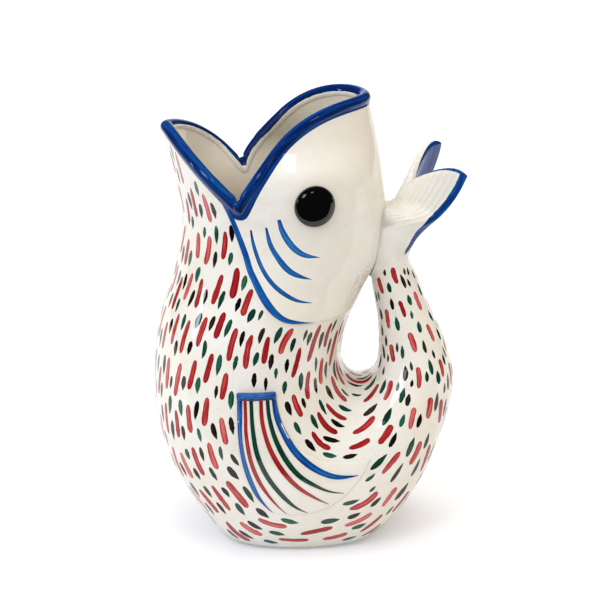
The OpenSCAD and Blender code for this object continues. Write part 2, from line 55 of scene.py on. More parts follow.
# %% Sizes of the throat, the head and the belly
neck_height, neck_front, neck_back, neck_width = 176, 60.5, 48.5, 93
lower_lip_height, lower_lip_reach, jaw_width = 222, 70, 112
upper_lip_height, upper_lip_reach, upper_jaw_width = 239, 39.5, 67
corner_height, corner_reach = 189.5, 29.5
belly_front, belly_height, belly_width = 77, 80, 120
base_length, wall, foot_height = 78, 4.5, 1.5

# %% Sizes of the tail, the finger hole and the trimmings
tail_back, tail_height, tail_root_width, tail_top_width, tail_depth = 86.5, 81, 72, 29, 25
hole_bottom, hole_top, hole_front, hole_width = 83.5, 138, 25, 20.5
bead_d, gill_relief = 6.8, 1.2
eye_d, eye_proud, eye_x, eye_z = 22, 5, 10.5, 193.5
fin_front, fin_top, fin_width, fin_length, fin_sweep, fin_thick = 30.5, 95.5, 20, 72, 51, 3.8
tip_back, tip_span, tip_height, notch_back, notch_height = 85, 58, 206, 63.5, 193
lobe_thick, fin_twist, fin_lean = 5, 11, 3


# %% Blending helpers, which work on whole arrays
def arrays(*values):
    """Numbers or arrays as float arrays of one shape."""
    return np.broadcast_arrays(*(np.asarray(value, float) for value in values))


def mix(a, b, u):
    return a + (b - a) * u


def ease(u):
    c = np.clip(u, 0, 1)
    return c * c * (3 - 2 * c)


def unit(v):
    return v / np.linalg.norm(v, axis=-1, keepdims=True)


def lengths_along(points, axis=0):
    """The length of a path up to each of its points."""
    steps = np.diff(points, axis=axis, prepend=np.take(points, [0], axis))
    return np.cumsum(np.linalg.norm(steps, axis=-1), axis)


def cosd(t):
    return np.cos(np.radians(t))


def sind(t):
    return np.sin(np.radians(t))


def bow(p, u):
    """A cubic Bezier curve through p[0] and p[3]."""
    p = np.asarray(p, float)
    u = np.asarray(u, float)[..., None]
    return p[0] * (1 - u) ** 3 + 3 * p[1] * (1 - u) ** 2 * u + 3 * p[2] * (1 - u) * u * u + p[3] * u**3


def hermite(a, da, b, db, u):
    rising = a * (1 + 2 * u) * (1 - u) ** 2 + da * u * (1 - u) ** 2
    return rising + b * (3 - 2 * u) * u * u - db * (1 - u) * u * u


def slopes(places, values):
    """The slope at each place, from its two neighbours."""
    here = np.arange(len(places))
    low = np.maximum(here - 1, 0)
    high = np.minimum(here + 1, len(places) - 1)
    run = (places[high] - places[low]).reshape((-1,) + (1,) * (values.ndim - 1))
    return (values[high] - values[low]) / run


def curve(table, x):
    """A smooth curve through rows of place and value."""
    places, values = table[:, 0], table[:, 1]
    i = np.clip(np.searchsorted(places, x, side="right") - 1, 0, len(places) - 2)
    span = places[i + 1] - places[i]
    slope = slopes(places, values)
    return hermite(values[i], slope[i] * span, values[i + 1], slope[i + 1] * span, (x - places[i]) / span)


def blend_rows(rows, x):
    """A smooth curve through whole rows of values, at row number x."""
    x = np.asarray(x, float)
    i = np.clip(np.floor(x).astype(int), 0, len(rows) - 2)
    slope = slopes(np.arange(len(rows), dtype=float), rows)
    return hermite(rows[i], slope[i], rows[i + 1], slope[i + 1], (x - i)[..., None])


# %% [markdown]
# Above the belt a section is described by its front, its back and its half width at each height.
# The lower jaw flares and comes to a lip, and the upper jaw narrows towards its top.

# %% The upper body's lines
belt = hole_bottom + 0.633 * (hole_top - hole_bottom)
past_rim = 10
table_low = belt - 25
table_high = max(lower_lip_height, upper_lip_height) + past_rim
chest = mix(belt, neck_height, 0.5)
nape_low = neck_height + 8
lip_drop = lower_lip_height - neck_height
front_line = np.array([
    [table_low, 0.8 - belly_front], [belt, 3.2 - belly_front],
    [chest, -mix(neck_front, belly_front, 0.27)], [neck_height, -neck_front],
    [neck_height + 0.5 * lip_drop, -mix(neck_front, lower_lip_reach, 0.42)],
    [lower_lip_height, -lower_lip_reach], [table_high, -lower_lip_reach - 4]])
back_line = np.array([
    [table_low, hole_front - 0.6], [belt, hole_front + 3.6],
    [mix(belt, hole_top, 0.5), mix(hole_front, neck_back, 0.32)],
    [hole_top, mix(hole_front, neck_back, 0.53)],
    [mix(hole_top, neck_height, 0.5), neck_back - 2.4], [nape_low, neck_back],
    [mix(nape_low, upper_lip_height, 0.45), mix(neck_back, upper_lip_reach, 0.33)],
    [upper_lip_height, upper_lip_reach], [table_high, upper_lip_reach - 1.5]])
width_line = np.array([
    [table_low, belly_width / 2 - 1], [belt, mix(neck_width, belly_width, 0.68) / 2],
    [chest, mix(neck_width, belly_width, 0.24) / 2], [neck_height, neck_width / 2],
    [corner_height, neck_width / 2 + 0.8],
    [mix(corner_height, upper_lip_height, 0.36), neck_width / 2],
    [mix(corner_height, upper_lip_height, 0.68), mix(neck_width, upper_jaw_width, 0.7) / 2],
    [upper_lip_height, upper_jaw_width / 2], [table_high, upper_jaw_width / 2 - 1.5]])
flare_line = np.array([
    [belt, 0], [neck_height, 0], [corner_height, 0.15],
    [mix(corner_height, lower_lip_height, 0.6), 1], [table_high, 1]])


# %% The upper skin, by height z and turn t around the oval in degrees from the front
def mid_x(z):
    return (curve(front_line, z) + curve(back_line, z)) / 2


def half_length(z):
    return (curve(back_line, z) - curve(front_line, z)) / 2


def from_front(t):
    return np.where(t > 180, 360 - t, t)


corner_cos = (mid_x(corner_height) + corner_reach) / half_length(corner_height)
corner_turn = float(np.degrees(np.arccos(corner_cos)))
jaw_blend, jaw_point = 28, 0.6


def half_width(z, t):
    back = curve(width_line, z)
    flare = curve(flare_line, z)
    jaw = np.maximum(back, mix(neck_width, jaw_width, flare) / 2)
    point = 1 - jaw_point * flare * np.maximum(0, cosd(t)) ** 8
    share = 1 - ease((from_front(t) - corner_turn) / jaw_blend + 0.5)
    return mix(back, jaw, share) * point


def upper_skin(z, t):
    x = mid_x(z) - half_length(z) * cosd(t)
    return np.stack(np.broadcast_arrays(x, -half_width(z, t) * sind(t), z), -1)


print("the mouth's corners are", round(corner_turn, 1), "degrees from the front")

# %% [markdown]
# Below the belt each row holds a section's outer end, its inner end, its half width and how square
# it is. A smooth curve through the rows carries the belly round into the tail.

# %% The lower body's rows
hole_mid = hole_front + hole_width
foot_sink, full_square = 11, 0.05
half_belly, half_root, half_top = belly_width / 2, tail_root_width / 2, tail_top_width / 2
belt_row = [curve(front_line, belt), belt, curve(back_line, belt), belt, curve(width_line, belt), 0]
lower_rows = np.array([
    belt_row,
    [-belly_front, belly_height, hole_front, mix(hole_bottom, belt, 0.46), half_belly - 1, full_square / 2],
    [-0.905 * belly_front, 0.57 * belly_height, mix(hole_front, hole_mid, 0.08),
     mix(hole_bottom, belt, 0.22), half_belly, full_square],
    [-0.69 * belly_front, 0.21 * belly_height, mix(hole_front, hole_mid, 0.24),
     mix(hole_bottom, belt, 0.07), half_belly - 0.5, full_square],
    [5 - base_length / 2, -4, mix(hole_front, hole_mid, 0.41), hole_bottom + 0.4,
     half_belly - 1.5, full_square],
    [0, -foot_sink, mix(hole_front, hole_mid, 0.54), hole_bottom, half_belly - 4, full_square],
    [base_length / 2 - 2, -4, mix(hole_front, hole_mid, 0.67), hole_bottom + 0.7,
     mix(half_belly, half_root, 0.36), full_square],
    [0.71 * tail_back, 0.22 * tail_height, mix(hole_front, hole_mid, 0.81),
     mix(hole_bottom, belt, 0.09), mix(half_belly, half_root, 0.68), full_square],
    [0.895 * tail_back, 0.57 * tail_height, mix(hole_front, hole_mid, 0.93),
     mix(hole_bottom, belt, 0.22), half_root, full_square / 2],
    [tail_back, tail_height, hole_mid, mix(hole_bottom, belt, 0.44), mix(half_root, half_top, 0.42), 0],
    [0.94 * tail_back, mix(tail_height, hole_top, 0.44), hole_mid, mix(hole_bottom, hole_top, 0.42),
     mix(half_root, half_top, 0.74), 0],
    [hole_mid + 1.12 * tail_depth, mix(tail_height, hole_top, 0.74), hole_mid - 0.7,
     mix(hole_bottom, hole_top, 0.66), mix(half_root, half_top, 0.92), 0],
    [hole_mid - 3 + tail_depth, hole_top, hole_mid - 3, mix(hole_bottom, hole_top, 0.9), half_top, 0],
    [neck_back + 15.5, hole_top + 8, neck_back - 8, hole_top + 12, half_top - 0.5, 0],
    [neck_back + 13, hole_top + 15, neck_back - 5, hole_top + 40, half_top - 0.5, 0]])
join_row, end_row, belt_pace = 8, len(lower_rows) - 1, 38


def belt_slope(table):
    return (curve(table, belt + 1) - curve(table, belt - 1)) / 2


belt_pull = np.array([belt_slope(front_line), 1, belt_slope(back_line), 1, belt_slope(width_line), 0])
fan_rows = np.vstack([lower_rows[1] + belt_pace * belt_pull, lower_rows])
print("the belly and the tail have", len(lower_rows), "rows")


# %% The whole skin: v is below 0 from the belt up to the rim, and above 0 along the U
def oval(t, square):
    k = square * (1 + cosd(t)) / 2
    return (cosd(t) - k * cosd(3 * t)) / (1 - k), (sind(t) + k * sind(3 * t)) / (1 - k)


def lower_skin(v, t):
    r = np.moveaxis(blend_rows(fan_rows, v + 1), -1, 0)
    along, across = oval(t, r[5])
    out = (1 + along) / 2
    z = np.maximum(foot_height, mix(r[3], r[1], out))
    return np.stack([mix(r[2], r[0], out), -r[4] * across, z], -1)


row_step = 10


def row_of(z):
    return (belt - z) / row_step


def skin(v, t):
    v, t = arrays(v, t)
    upper = upper_skin(belt - row_step * np.minimum(v, 0), t)
    lower = lower_skin(np.maximum(v, 0), t)
    return np.where(v[..., None] < 0, upper, lower)


def normal_of(on, a, b, da=0.02, db=0.5):
    """The outward direction of a surface on(a, b)."""
    along = on(a + da, b) - on(a - da, b)
    across = on(a, b + db) - on(a, b - db)
    return unit(np.cross(along, across))


def off_skin(v, t, d):
    v, t, d = arrays(v, t, d)
    return skin(v, t) + d[..., None] * normal_of(skin, v, t)


# %% Finding the place on the skin that lies at given distances along two directions
def seat(a, b, da, db, v, t, steps=7):
    v, t = np.broadcast_to(v, np.shape(a)) * 1.0, np.broadcast_to(t, np.shape(a)) * 1.0
    for _ in range(steps):
        p = skin(v, t)
        dv = (skin(v + 0.01, t) - p) * 100
        dt = (skin(v, t + 0.1) - p) * 10
        ea, eb = a - p @ da, b - p @ db
        det = (dv @ da) * (dt @ db) - (dt @ da) * (dv @ db)
        v = v + np.clip((ea * (dt @ db) - (dt @ da) * eb) / det, -1, 1)
        t = t + np.clip(((dv @ da) * eb - ea * (dv @ db)) / det, -15, 15)
    return v, t


# %% The nape, which the tail's end is pressed against
side_fillet, tight_fillet = 8, 2.5


def nape_x(y, z):
    z = np.maximum(z, belt)
    return mid_x(z) + half_length(z) * np.sqrt(np.maximum(0, 1 - (y / half_width(z, 180)) ** 2))


def on_nape(p, m, sunk=0.0):
    """Presses the point p of a loop around m on the nape, and flares the joint out in a fillet.
    The hidden part can be sunk a little into the nape, so that two surfaces never coincide."""
    way = unit(p - m)
    r = mix(tight_fillet, side_fillet, way[..., 1] ** 2)
    d = p[..., 0] - nape_x(p[..., 1], p[..., 2])
    h = np.maximum(0, 1 - np.abs(d) / r)
    q = p + way * (r * (1 - np.sqrt(1 - h * h)))[..., None]
    nape = nape_x(q[..., 1], q[..., 2])
    x = np.where(d < 0, nape - sunk * ease(-d / 2), mix(np.maximum(q[..., 0], nape), nape, h * h))
    pressed = np.stack([x, q[..., 1], q[..., 2]], -1)
    return np.where(p[..., 2:] < belt, p, pressed)


# %% [markdown]
# Seen from the side, the rim is two curved legs with a small round corner between them. The gill
# covers start at that corner and sweep back under the eyes.

# %% The rim's height and the gill line's height, by turn
corner_round, corner_drop, lower_bend, upper_bend = 3.4, 4.5, 1.27, 2.25
low_corner = corner_height - corner_drop
corner_scale = half_length(corner_height)
lower_run, upper_run = corner_scale * (1 - cosd(corner_turn)), corner_scale * (1 + cosd(corner_turn))
lower_rise, upper_rise = lower_lip_height - low_corner, upper_lip_height - low_corner
lower_slope, upper_slope = lower_bend * lower_rise / lower_run, upper_bend * upper_rise / upper_run
lower_tilt, upper_tilt = np.hypot(1, lower_slope), np.hypot(1, upper_slope)
round_x = corner_round * (lower_tilt - upper_tilt) / (lower_slope + upper_slope)
round_z = corner_round * lower_tilt - lower_slope * round_x
lower_touch = corner_round * lower_slope / lower_tilt - round_x
upper_touch = corner_round * upper_slope / upper_tilt + round_x


def leg_from(s, touch, slope, run, rise, bend):
    s = np.maximum(s, touch)
    rising = rise * (1 - np.maximum(0, 1 - s / run) ** bend)
    at_touch = rise * (1 - (1 - touch / run) ** bend)
    return rising + (slope * touch - at_touch) * (1 - (s - touch) / (run - touch)) ** 3


def rim_height(t):
    s = corner_scale * (cosd(corner_turn) - cosd(t))
    lower = leg_from(-s, lower_touch, lower_slope, lower_run, lower_rise, lower_bend)
    upper = leg_from(s, upper_touch, upper_slope, upper_run, upper_rise, upper_bend)
    corner = round_z - np.sqrt(np.maximum(0, corner_round**2 - (s - round_x) ** 2))
    return low_corner + np.where(s < -lower_touch, lower, np.where(s > upper_touch, upper, corner))


gill_start, gill_low, gill_fade = corner_turn - 10, 130, 16
gill_line = np.array([
    [gill_start, rim_height(gill_start)], [corner_turn - 4, mix(gill_low, corner_height, 0.82)],
    [corner_turn + 2, mix(gill_low, corner_height, 0.61)],
    [corner_turn + 7, mix(gill_low, corner_height, 0.45)], [corner_turn + 20, gill_low + 12],
    [corner_turn + 35, gill_low + 2.5], [corner_turn + 50, gill_low], [180, gill_low - 2]])


def gill_height(t):
    return curve(gill_line, from_front(t))


def has_gill(t):
    return from_front(t) > gill_start + 0.01


# %% Meshes made of closed loops of points
def loop_quads(loops, n, wrap):
    j, i = np.meshgrid(np.arange(loops - (0 if wrap else 1)), np.arange(n), indexing="ij")
    k, here, following = (i + 1) % n, j * n, ((j + 1) % loops) * n
    return np.stack([here + i, here + k, following + k, following + i], -1).reshape(-1, 4).tolist()


def cap(ring, n, point, flip=False):
    """Faces that close the loop of n points starting at ring on one point."""
    pairs = [(ring + i, ring + (i + 1) % n) for i in range(n)]
    return [[point, a, b] if flip else [point, b, a] for a, b in pairs]


def make_mesh(name, points, faces, normals=None, attributes=None):
    """A smooth-shaded object from points in millimetres, with its own normals where they are given."""
    points = np.asarray(points, float).reshape(-1, 3)
    mesh = bpy.data.meshes.new(name)
    mesh.from_pydata((points * MM).tolist(), [], faces)
    mesh.update()
    if signed_volume(mesh) < 0:
        mesh.flip_normals()
    mesh.shade_smooth()
    for key, values in (attributes or {}).items():
        layer = mesh.attributes.new(key, "FLOAT", "POINT")
        layer.data.foreach_set("value", np.asarray(values, np.float32).ravel())
    if normals is not None:
        mesh.normals_split_custom_set_from_vertices(np.asarray(normals, float).reshape(-1, 3).tolist())
    obj = bpy.data.objects.new(name, mesh)
    bpy.context.scene.collection.objects.link(obj)
    print(name, "has", len(mesh.vertices), "points and", len(mesh.polygons), "faces")
    return obj


def signed_volume(mesh):
    """The volume that the faces close in, below 0 where they face inward."""
    mesh.calc_loop_triangles()
    places = np.zeros(len(mesh.vertices) * 3)
    mesh.vertices.foreach_get("co", places)
    corners = np.zeros(len(mesh.loop_triangles) * 3, int)
    mesh.loop_triangles.foreach_get("vertices", corners)
    a, b, c = np.moveaxis(places.reshape(-1, 3)[corners.reshape(-1, 3)], 1, 0)
    return float((np.cross(a, b) * c).sum() / 6)


# %% Columns around the oval, closer together at the mouth's corners
def make_turns(front, gill, back):
    i = np.arange(front)
    before = gill_start * (1 - (1 - i / front) ** 1.1)
    i = np.arange(gill)
    beside = corner_turn - 10 * (1 - i / gill) ** 1.3
    i = np.arange(back + 1)
    behind = corner_turn + (180 - corner_turn) * (i / back) ** 1.4
    half = np.concatenate([before, beside, behind])
    return np.concatenate([half, 360 - half[-2:0:-1]])


turns = make_turns(34, 16, 72)
print(len(turns), "columns")

# %% [markdown]
# ## Belly
# The lower jaw, the throat and the fish's body are one cast shell, open at the mouth and into the
# tail. The mesh is a ring of loops: each loop runs down the inside of the wall and back up the
# outside. The normals come from the rule itself, so the belly, the head and the tail shade as one
# skin with no seam.


# %% Belly
def top_row(t):
    return row_of(np.where(has_gill(t), gill_height(t), rim_height(t)))


def rows_down(t, upper, lower):
    """Places down one column for every turn, from the top edge to the tail's joint."""
    above = mix(top_row(t)[:, None], 0, np.arange(upper) / upper)
    below = np.broadcast_to(np.arange(join_row * lower + 1) / lower, (len(t), join_row * lower + 1))
    return np.concatenate([above, below], 1)


def shell_points(inside, outside, t):
    v = np.concatenate([inside, outside[:, ::-1]], 1)
    side = np.where(np.arange(v.shape[1]) < inside.shape[1], -1.0, 1.0)
    t = np.broadcast_to(t[:, None], v.shape)
    normals = normal_of(skin, v, t)
    points = skin(v, t) + np.where(side < 0, -wall, 0)[..., None] * normals
    return points, normals * side[:, None]


belly_points, belly_normals = shell_points(rows_down(turns, 16, 3), rows_down(turns, 56, 13), turns)
belly_faces = loop_quads(len(turns), belly_points.shape[1], True)
belly = make_mesh("belly_shell", belly_points, belly_faces, belly_normals)
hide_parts("belly")
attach(belly, "root")

# %% [markdown]
# ## Head
# The upper jaw and both gill covers stand a little proud of the throat, and their edge is rounded
# off, as a cast edge is after sponging and glazing. Displacing the belly's mesh would smear that
# edge over its faces, so the head is a mesh of its own, with its rows set close where the edge turns.


# %% Head
def gill_edge(t, z):
    above = z - gill_height(t)
    proud = gill_relief * (1 - ease(above / gill_fade))
    rounded = np.sqrt(np.maximum(0, 1 - (1 - np.clip(above / (1.3 * gill_relief), 0, 1)) ** 2))
    return proud * rounded * ease((from_front(t) - gill_start) / 12) * ease((180 - from_front(t)) / 30)


def head_skin(v, t):
    v, t = arrays(v, t)
    return off_skin(v, t, gill_edge(t, belt - row_step * v))


head_turns = turns[has_gill(turns)]
down = np.concatenate([np.linspace(0, 0.93, 44), np.linspace(0.94, 1, 14)])
head_z = mix(rim_height(head_turns)[:, None], gill_height(head_turns)[:, None], down)
inside_z = head_z[:, ::3]
turn_grid = np.broadcast_to(head_turns[:, None], head_z.shape)
head_outside = head_skin(row_of(head_z), turn_grid)[:, ::-1]
head_normals = normal_of(head_skin, row_of(head_z), turn_grid, 0.004, 0.1)[:, ::-1]
inner_grid = np.broadcast_to(head_turns[:, None], inside_z.shape)
head_inside = off_skin(row_of(inside_z), inner_grid, -wall)
inner_normals = -normal_of(skin, row_of(inside_z), inner_grid)
head_points = np.concatenate([head_inside, head_outside], 1)
loop = head_points.shape[1]
rows_in, rows_out = head_inside.shape[1], head_outside.shape[1]
tip_turns = np.repeat([gill_start, 360 - gill_start], 2)
tip_sides = np.array([-1, 1, -1, 1])
tips = off_skin(row_of(rim_height(tip_turns)), tip_turns, np.where(tip_sides < 0, -wall, 0))
tip_normals = normal_of(skin, row_of(rim_height(tip_turns)), tip_turns) * tip_sides[:, None]
tip = len(head_turns) * loop


def wedge(b, inner, outer, flip):
    """Faces that close a gill cover's corner at the rim on one inner and one outer point."""
    faces = [[inner, b + i, b + i + 1] for i in range(rows_in - 1)]
    faces += [[outer, b + rows_in + i, b + rows_in + i + 1] for i in range(rows_out - 1)]
    faces += [[inner, b + loop - 1, b], [inner, outer, b + loop - 1]]
    faces += [[inner, b + rows_in - 1, b + rows_in], [inner, b + rows_in, outer]]
    return [f[::-1] for f in faces] if flip else faces


head_faces = loop_quads(len(head_turns), loop, False)
head_faces += wedge(0, tip, tip + 1, True) + wedge(tip - loop, tip + 2, tip + 3, False)
head_all = np.concatenate([head_points.reshape(-1, 3), tips])
head_all_normals = np.concatenate([inner_normals, head_normals], 1).reshape(-1, 3)
head_all_normals = np.concatenate([head_all_normals, tip_normals])
head = make_mesh("head_and_gills", head_all, head_faces, head_all_normals)
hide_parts("head")
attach(head, "root")

# %% [markdown]
# ## Lip bead
# A roll of clay sits on the rim. A curve with a round bevel would pinch at the mouth's corners, so
# each loop is made here: a circle with a flat where it rests on the wall. At the corners its two
# legs meet in a mitre.

# %% Lip bead
bead_sides = 28
bead_seat = float(np.degrees(np.arcsin(wall / bead_d)))
bead_lift = cosd(bead_seat) * bead_d / 2
leg_turn, corner_dip = 5, 0.2


def rim_point(t, d):
    return off_skin(row_of(rim_height(t)), t, d)


def bead_out(t):
    return unit(rim_point(t, 0) - rim_point(t, -wall))


def bead_way(t):
    return unit(rim_point(t + 1, -wall / 2) - rim_point(t - 1, -wall / 2))


def bead_up(t):
    return unit(np.cross(bead_out(t), bead_way(t)))


leg_ups = [bead_up(np.array(corner_turn + d)) for d in (-leg_turn, leg_turn)]
corner_cut = np.degrees(np.arccos(leg_ups[0] @ leg_ups[1])) / 2
mitre = unit(leg_ups[0] + leg_ups[1]) / cosd(corner_cut)


def bead_rise(t, h):
    """The way up from the rim to every height h: near a corner it leans away from the corner."""
    past, far = from_front(t) - corner_turn, t > 180
    side = np.where(past < 0, -1, 1)
    leg = corner_turn + side * np.maximum(leg_turn, np.abs(past))
    near, corner = np.where(far, 360 - leg, leg), np.where(far, 360 - corner_turn, corner_turn)
    away = bead_way(near) * np.where(far, -side, side)[:, None]
    run = np.linalg.norm(rim_point(t, -wall / 2) - rim_point(corner, -wall / 2), axis=-1)
    a = run[:, None] / np.maximum(h, 0.1)
    spread = np.sqrt(a * a + np.tan(np.radians(corner_cut)) ** 2) - a
    lean = bead_up(near)[:, None] + away[:, None] * spread[..., None]
    corner_way = mitre * np.where(far[:, None], [1, -1, 1], [1, 1, 1])
    dip = 1 - corner_dip * (1 - ease(run / 5))
    way = mix(lean, corner_way[:, None], (1 - ease(run / 3))[:, None, None])
    return h[:, None] * way * dip[:, None, None]


rim_turns = make_turns(70, 36, 110)
around = mix(180 - bead_seat, bead_seat - 180, np.arange(bead_sides + 1) / bead_sides)
bead_mid = (rim_point(rim_turns, 0) + rim_point(rim_turns, -wall)) / 2
bead_side = sind(around)[:, None] * bead_d / 2
bead_points = bead_mid[:, None] + bead_out(rim_turns)[:, None] * bead_side + bead_rise(
    rim_turns, bead_lift + cosd(around) * bead_d / 2)
bead_faces = loop_quads(len(rim_turns), bead_sides + 1, True)
lip = make_mesh("lip_roll", bead_points, bead_faces)
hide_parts("lip_bead")
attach(lip, "root")

# %% [markdown]
# ## Tail
# The tail is the handle: a tube that is open to the belly below and closed where it is pressed
# against the nape. The hollow ends a little before the tube does. The tail fin's shape comes first,
# because both share the directions in which the glaze faces at their seam.


# %% Tail
def tail_middle(v):
    r = np.moveaxis(blend_rows(fan_rows, np.asarray(v, float) + 1), -1, 0)
    return np.stack([(r[0] + r[2]) / 2, 0 * r[0], (r[1] + r[3]) / 2], -1)


def tail_skin(v, t, sunk=0.0):
    v, t = arrays(v, t)
    return on_nape(skin(v, t), tail_middle(v), sunk)


# %% Shape of the tail fin, which the end of the tail runs into
root_row = lower_rows[end_row]
root_mid = np.array([(root_row[0] + root_row[2]) / 2, 0, (root_row[1] + root_row[3]) / 2])
root_up = np.array([root_row[2] - root_row[0], 0, root_row[3] - root_row[1]])
trailing_edge = [[notch_back, 0, notch_height], [notch_back + 4, -0.42 * tip_span / 2, notch_height + 8],
                 [tip_back - 8, -0.8 * tip_span / 2, tip_height + 8],
                 [tip_back + 1, -tip_span / 2, tip_height - 1]]
fold_rise, edge_bow = 3, 4.2
turned_by, flat_by = 0.5, 0.55


def twist(p, a):
    x, y = p[..., 0] - root_mid[0], p[..., 1]
    lean = np.tan(np.radians(a * fin_lean / max(1, fin_twist)))
    turned = [root_mid[0] + x * cosd(a) - y * sind(a), x * sind(a) + y * cosd(a), p[..., 2] + y * lean]
    return np.stack(turned, -1)


def fin_middle(side, w):
    side, w = arrays(side, w)
    one = np.ones_like(side)
    edge = bow(trailing_edge, np.abs(side)) * np.stack([one, np.sign(side), one], -1)
    root = root_mid - side[..., None] * np.array([0, half_top, 0])
    lift = fold_rise * (1 - np.abs(side)) - edge_bow * np.abs(side)
    push = (4 * w * (1 - w) * lift)[..., None] * np.array([-1.0, 0, 1.0])
    return twist(mix(root, edge, w[..., None]) + push, fin_twist * ease(w / turned_by))


def fin_face(side, w):
    e = 0.02
    s = np.clip(side, e - 1, 1 - e)
    across = fin_middle(s + e, w) - fin_middle(s - e, w)
    return unit(np.cross(across, fin_middle(s, w + e) - fin_middle(s, w - e)))


def fin_half(w):
    blunt = np.sqrt(1 - 0.75 * np.maximum(0, 10 * w - 9) ** 2)
    return mix(np.linalg.norm(root_up), lobe_thick, ease(w / flat_by)) / 2 * blunt


def tail_fin_skin(w, t):
    w, t = arrays(w, t)
    edge = mix(1, 0.5, ease(w / flat_by))
    lift = -np.sign(cosd(t)) * np.abs(cosd(t)) ** edge
    way = unit(mix(unit(root_up), fin_face(sind(t), w), ease(w / turned_by)[..., None]))
    return on_nape(fin_middle(sind(t), w) + (fin_half(w) * lift)[..., None] * way, fin_middle(0, w))


def clear_normals(p, normals):
    """Where a surface lies on the nape, the nape's own way out, so that the joint shades smoothly."""
    own = ease((p[..., 0] - nape_x(p[..., 1], p[..., 2]) - 0.05) / 1.6)
    outward = unit(np.stack([np.ones(p.shape[:-1]), p[..., 1] / 30, np.zeros(p.shape[:-1])], -1))
    return unit(mix(outward, normals, own[..., None]))


def seam_normal(t):
    """The way out on the seam between tail and tail fin, shared by both."""
    t = np.asarray(t, float)
    way = unit(normal_of(tail_skin, end_row - 0.03, t) + normal_of(tail_fin_skin, 0.03, t, 0.02))
    return clear_normals(tail_skin(end_row, t), way)


# %% Tail mesh
cavity_end = end_row - 2
shell_rows = np.linspace(join_row, end_row, 100)
hollow_rows = np.linspace(cavity_end, join_row, 30)
tail_shell = tail_skin(shell_rows[:, None], turns, 0.8)
tail_hollow = off_skin(hollow_rows[:, None], turns, -wall)
shell_normals = normal_of(tail_skin, shell_rows[:, None], turns)
by_seam = ease(1 - (end_row - shell_rows) / 0.8)[:, None, None]
shell_normals = unit(mix(shell_normals, seam_normal(turns), by_seam))
shell_normals = clear_normals(tail_shell, shell_normals)
hollow_normals = -normal_of(skin, hollow_rows[:, None], turns)
columns, tail_loops = len(turns), len(hollow_rows) + len(shell_rows)
tail_count = tail_loops * columns
tail_faces = loop_quads(tail_loops, columns, False) + cap(0, columns, tail_count)
tail_faces += cap(tail_count - columns, columns, tail_count + 1, True)
ends = np.array([tail_hollow[0].mean(0), tail_shell[-1].mean(0)])
tail_points = np.concatenate([tail_hollow.reshape(-1, 3), tail_shell.reshape(-1, 3), ends])
up = np.array([[0.0, 0, -1], [0, 0, 1]])
tail_normals = np.concatenate([hollow_normals.reshape(-1, 3), shell_normals.reshape(-1, 3), up])
tail = make_mesh("tail_handle", tail_points, tail_faces, tail_normals)
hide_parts("tail")
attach(tail, "root")

# %% [markdown]
# ## Tail fin
# Two lobes grow out of the tail's end and were folded to a chevron and turned a little by hand.
# Columns come in pairs above and below the sheet, so the trailing edge closes on itself.

# %% Tail fin mesh
fin_turns = np.arange(0, 360, 2.0)
fin_columns = len(fin_turns)
fin_rows = 1 - (1 - np.linspace(0, 1, 56)[1:]) ** 1.4
fin_root = tail_skin(end_row - 0.05, fin_turns) - 0.04 * seam_normal(fin_turns)
fin_loops = np.concatenate([fin_root[None], tail_fin_skin(fin_rows[:, None], fin_turns)])
fin_normals = np.zeros(fin_loops.shape)
fin_normals[0] = seam_normal(fin_turns)
by_seam = fin_rows < 0.3
fin_normals[1:][by_seam] = clear_normals(fin_loops[1:][by_seam], unit(mix(
    seam_normal(fin_turns), normal_of(tail_fin_skin, fin_rows[by_seam][:, None], fin_turns, 0.01),
    ease(fin_rows[by_seam] / 0.22)[:, None, None])))
fin_count = len(fin_loops) * fin_columns
fin_faces = loop_quads(len(fin_loops), fin_columns, False) + cap(0, fin_columns, fin_count)
quarter = fin_columns // 4
for i in range(-quarter, quarter):
    pairs = [i, i + 1, 2 * quarter - i - 1, 2 * quarter - i]
    corners = dict.fromkeys(k % fin_columns for k in pairs)
    fin_faces.append([fin_count - fin_columns + k for k in corners])
fin_points = np.concatenate([fin_loops.reshape(-1, 3), fin_loops[0].mean(0)[None]])
fin_all_normals = np.concatenate([fin_normals.reshape(-1, 3), [[0, 0, 0]]])
tail_fin = make_mesh("tail_lobes", fin_points, fin_faces, fin_all_normals)
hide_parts("tail_fin")
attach(tail_fin, "root")

# %% [markdown]
# ## Side fins
# Each side fin is clay laid on the belly: a rolled top edge, and a sheet that thins towards the
# swept end. A flat sheet wrapped on with a shrinkwrap modifier would follow the belly too, but not
# at an exact height. Here each point is first seated on the belly and then raised by the clay's
# thickness there. The right fin is the left one's mirror image.

# %% Side fins
fin_back, fin_low = fin_width - fin_front, fin_top - fin_length
fin_roll, fin_sheet, fin_thin, fin_edge, fin_bulge = 2.8, 0.55, 0.9, 0.3, 0.3
front_edge = [[-fin_front, fin_top], [-fin_front, fin_top - 0.42 * fin_length],
              [0.06 * fin_sweep - fin_front, fin_top - 0.77 * fin_length],
              [0.37 * fin_sweep - fin_front, fin_low + 3]]
back_edge = [[fin_back, fin_top], [fin_back + 0.06 * fin_sweep, fin_top - 0.42 * fin_length],
             [fin_back + 0.35 * fin_sweep, fin_top - 0.63 * fin_length],
             [fin_back + fin_sweep, fin_top - 0.57 * fin_length]]
end_bow = np.array([0.09 * fin_sweep, -0.15 * fin_length])
X_WAY, Z_WAY = np.array([1.0, 0, 0]), np.array([0, 0, 1.0])


def roll_round(w):
    return np.sqrt(np.maximum(0, 1 - (2 * w * fin_length / fin_roll - 1) ** 2))


def fin_outline(u, w):
    swell = (4 * u * (1 - u) * w**4)[..., None] * end_bow
    bulge = ((2 * u - 1) * fin_bulge * roll_round(w))[..., None] * np.array([1, 0])
    return mix(bow(front_edge, w), bow(back_edge, w), u[..., None]) + swell + bulge


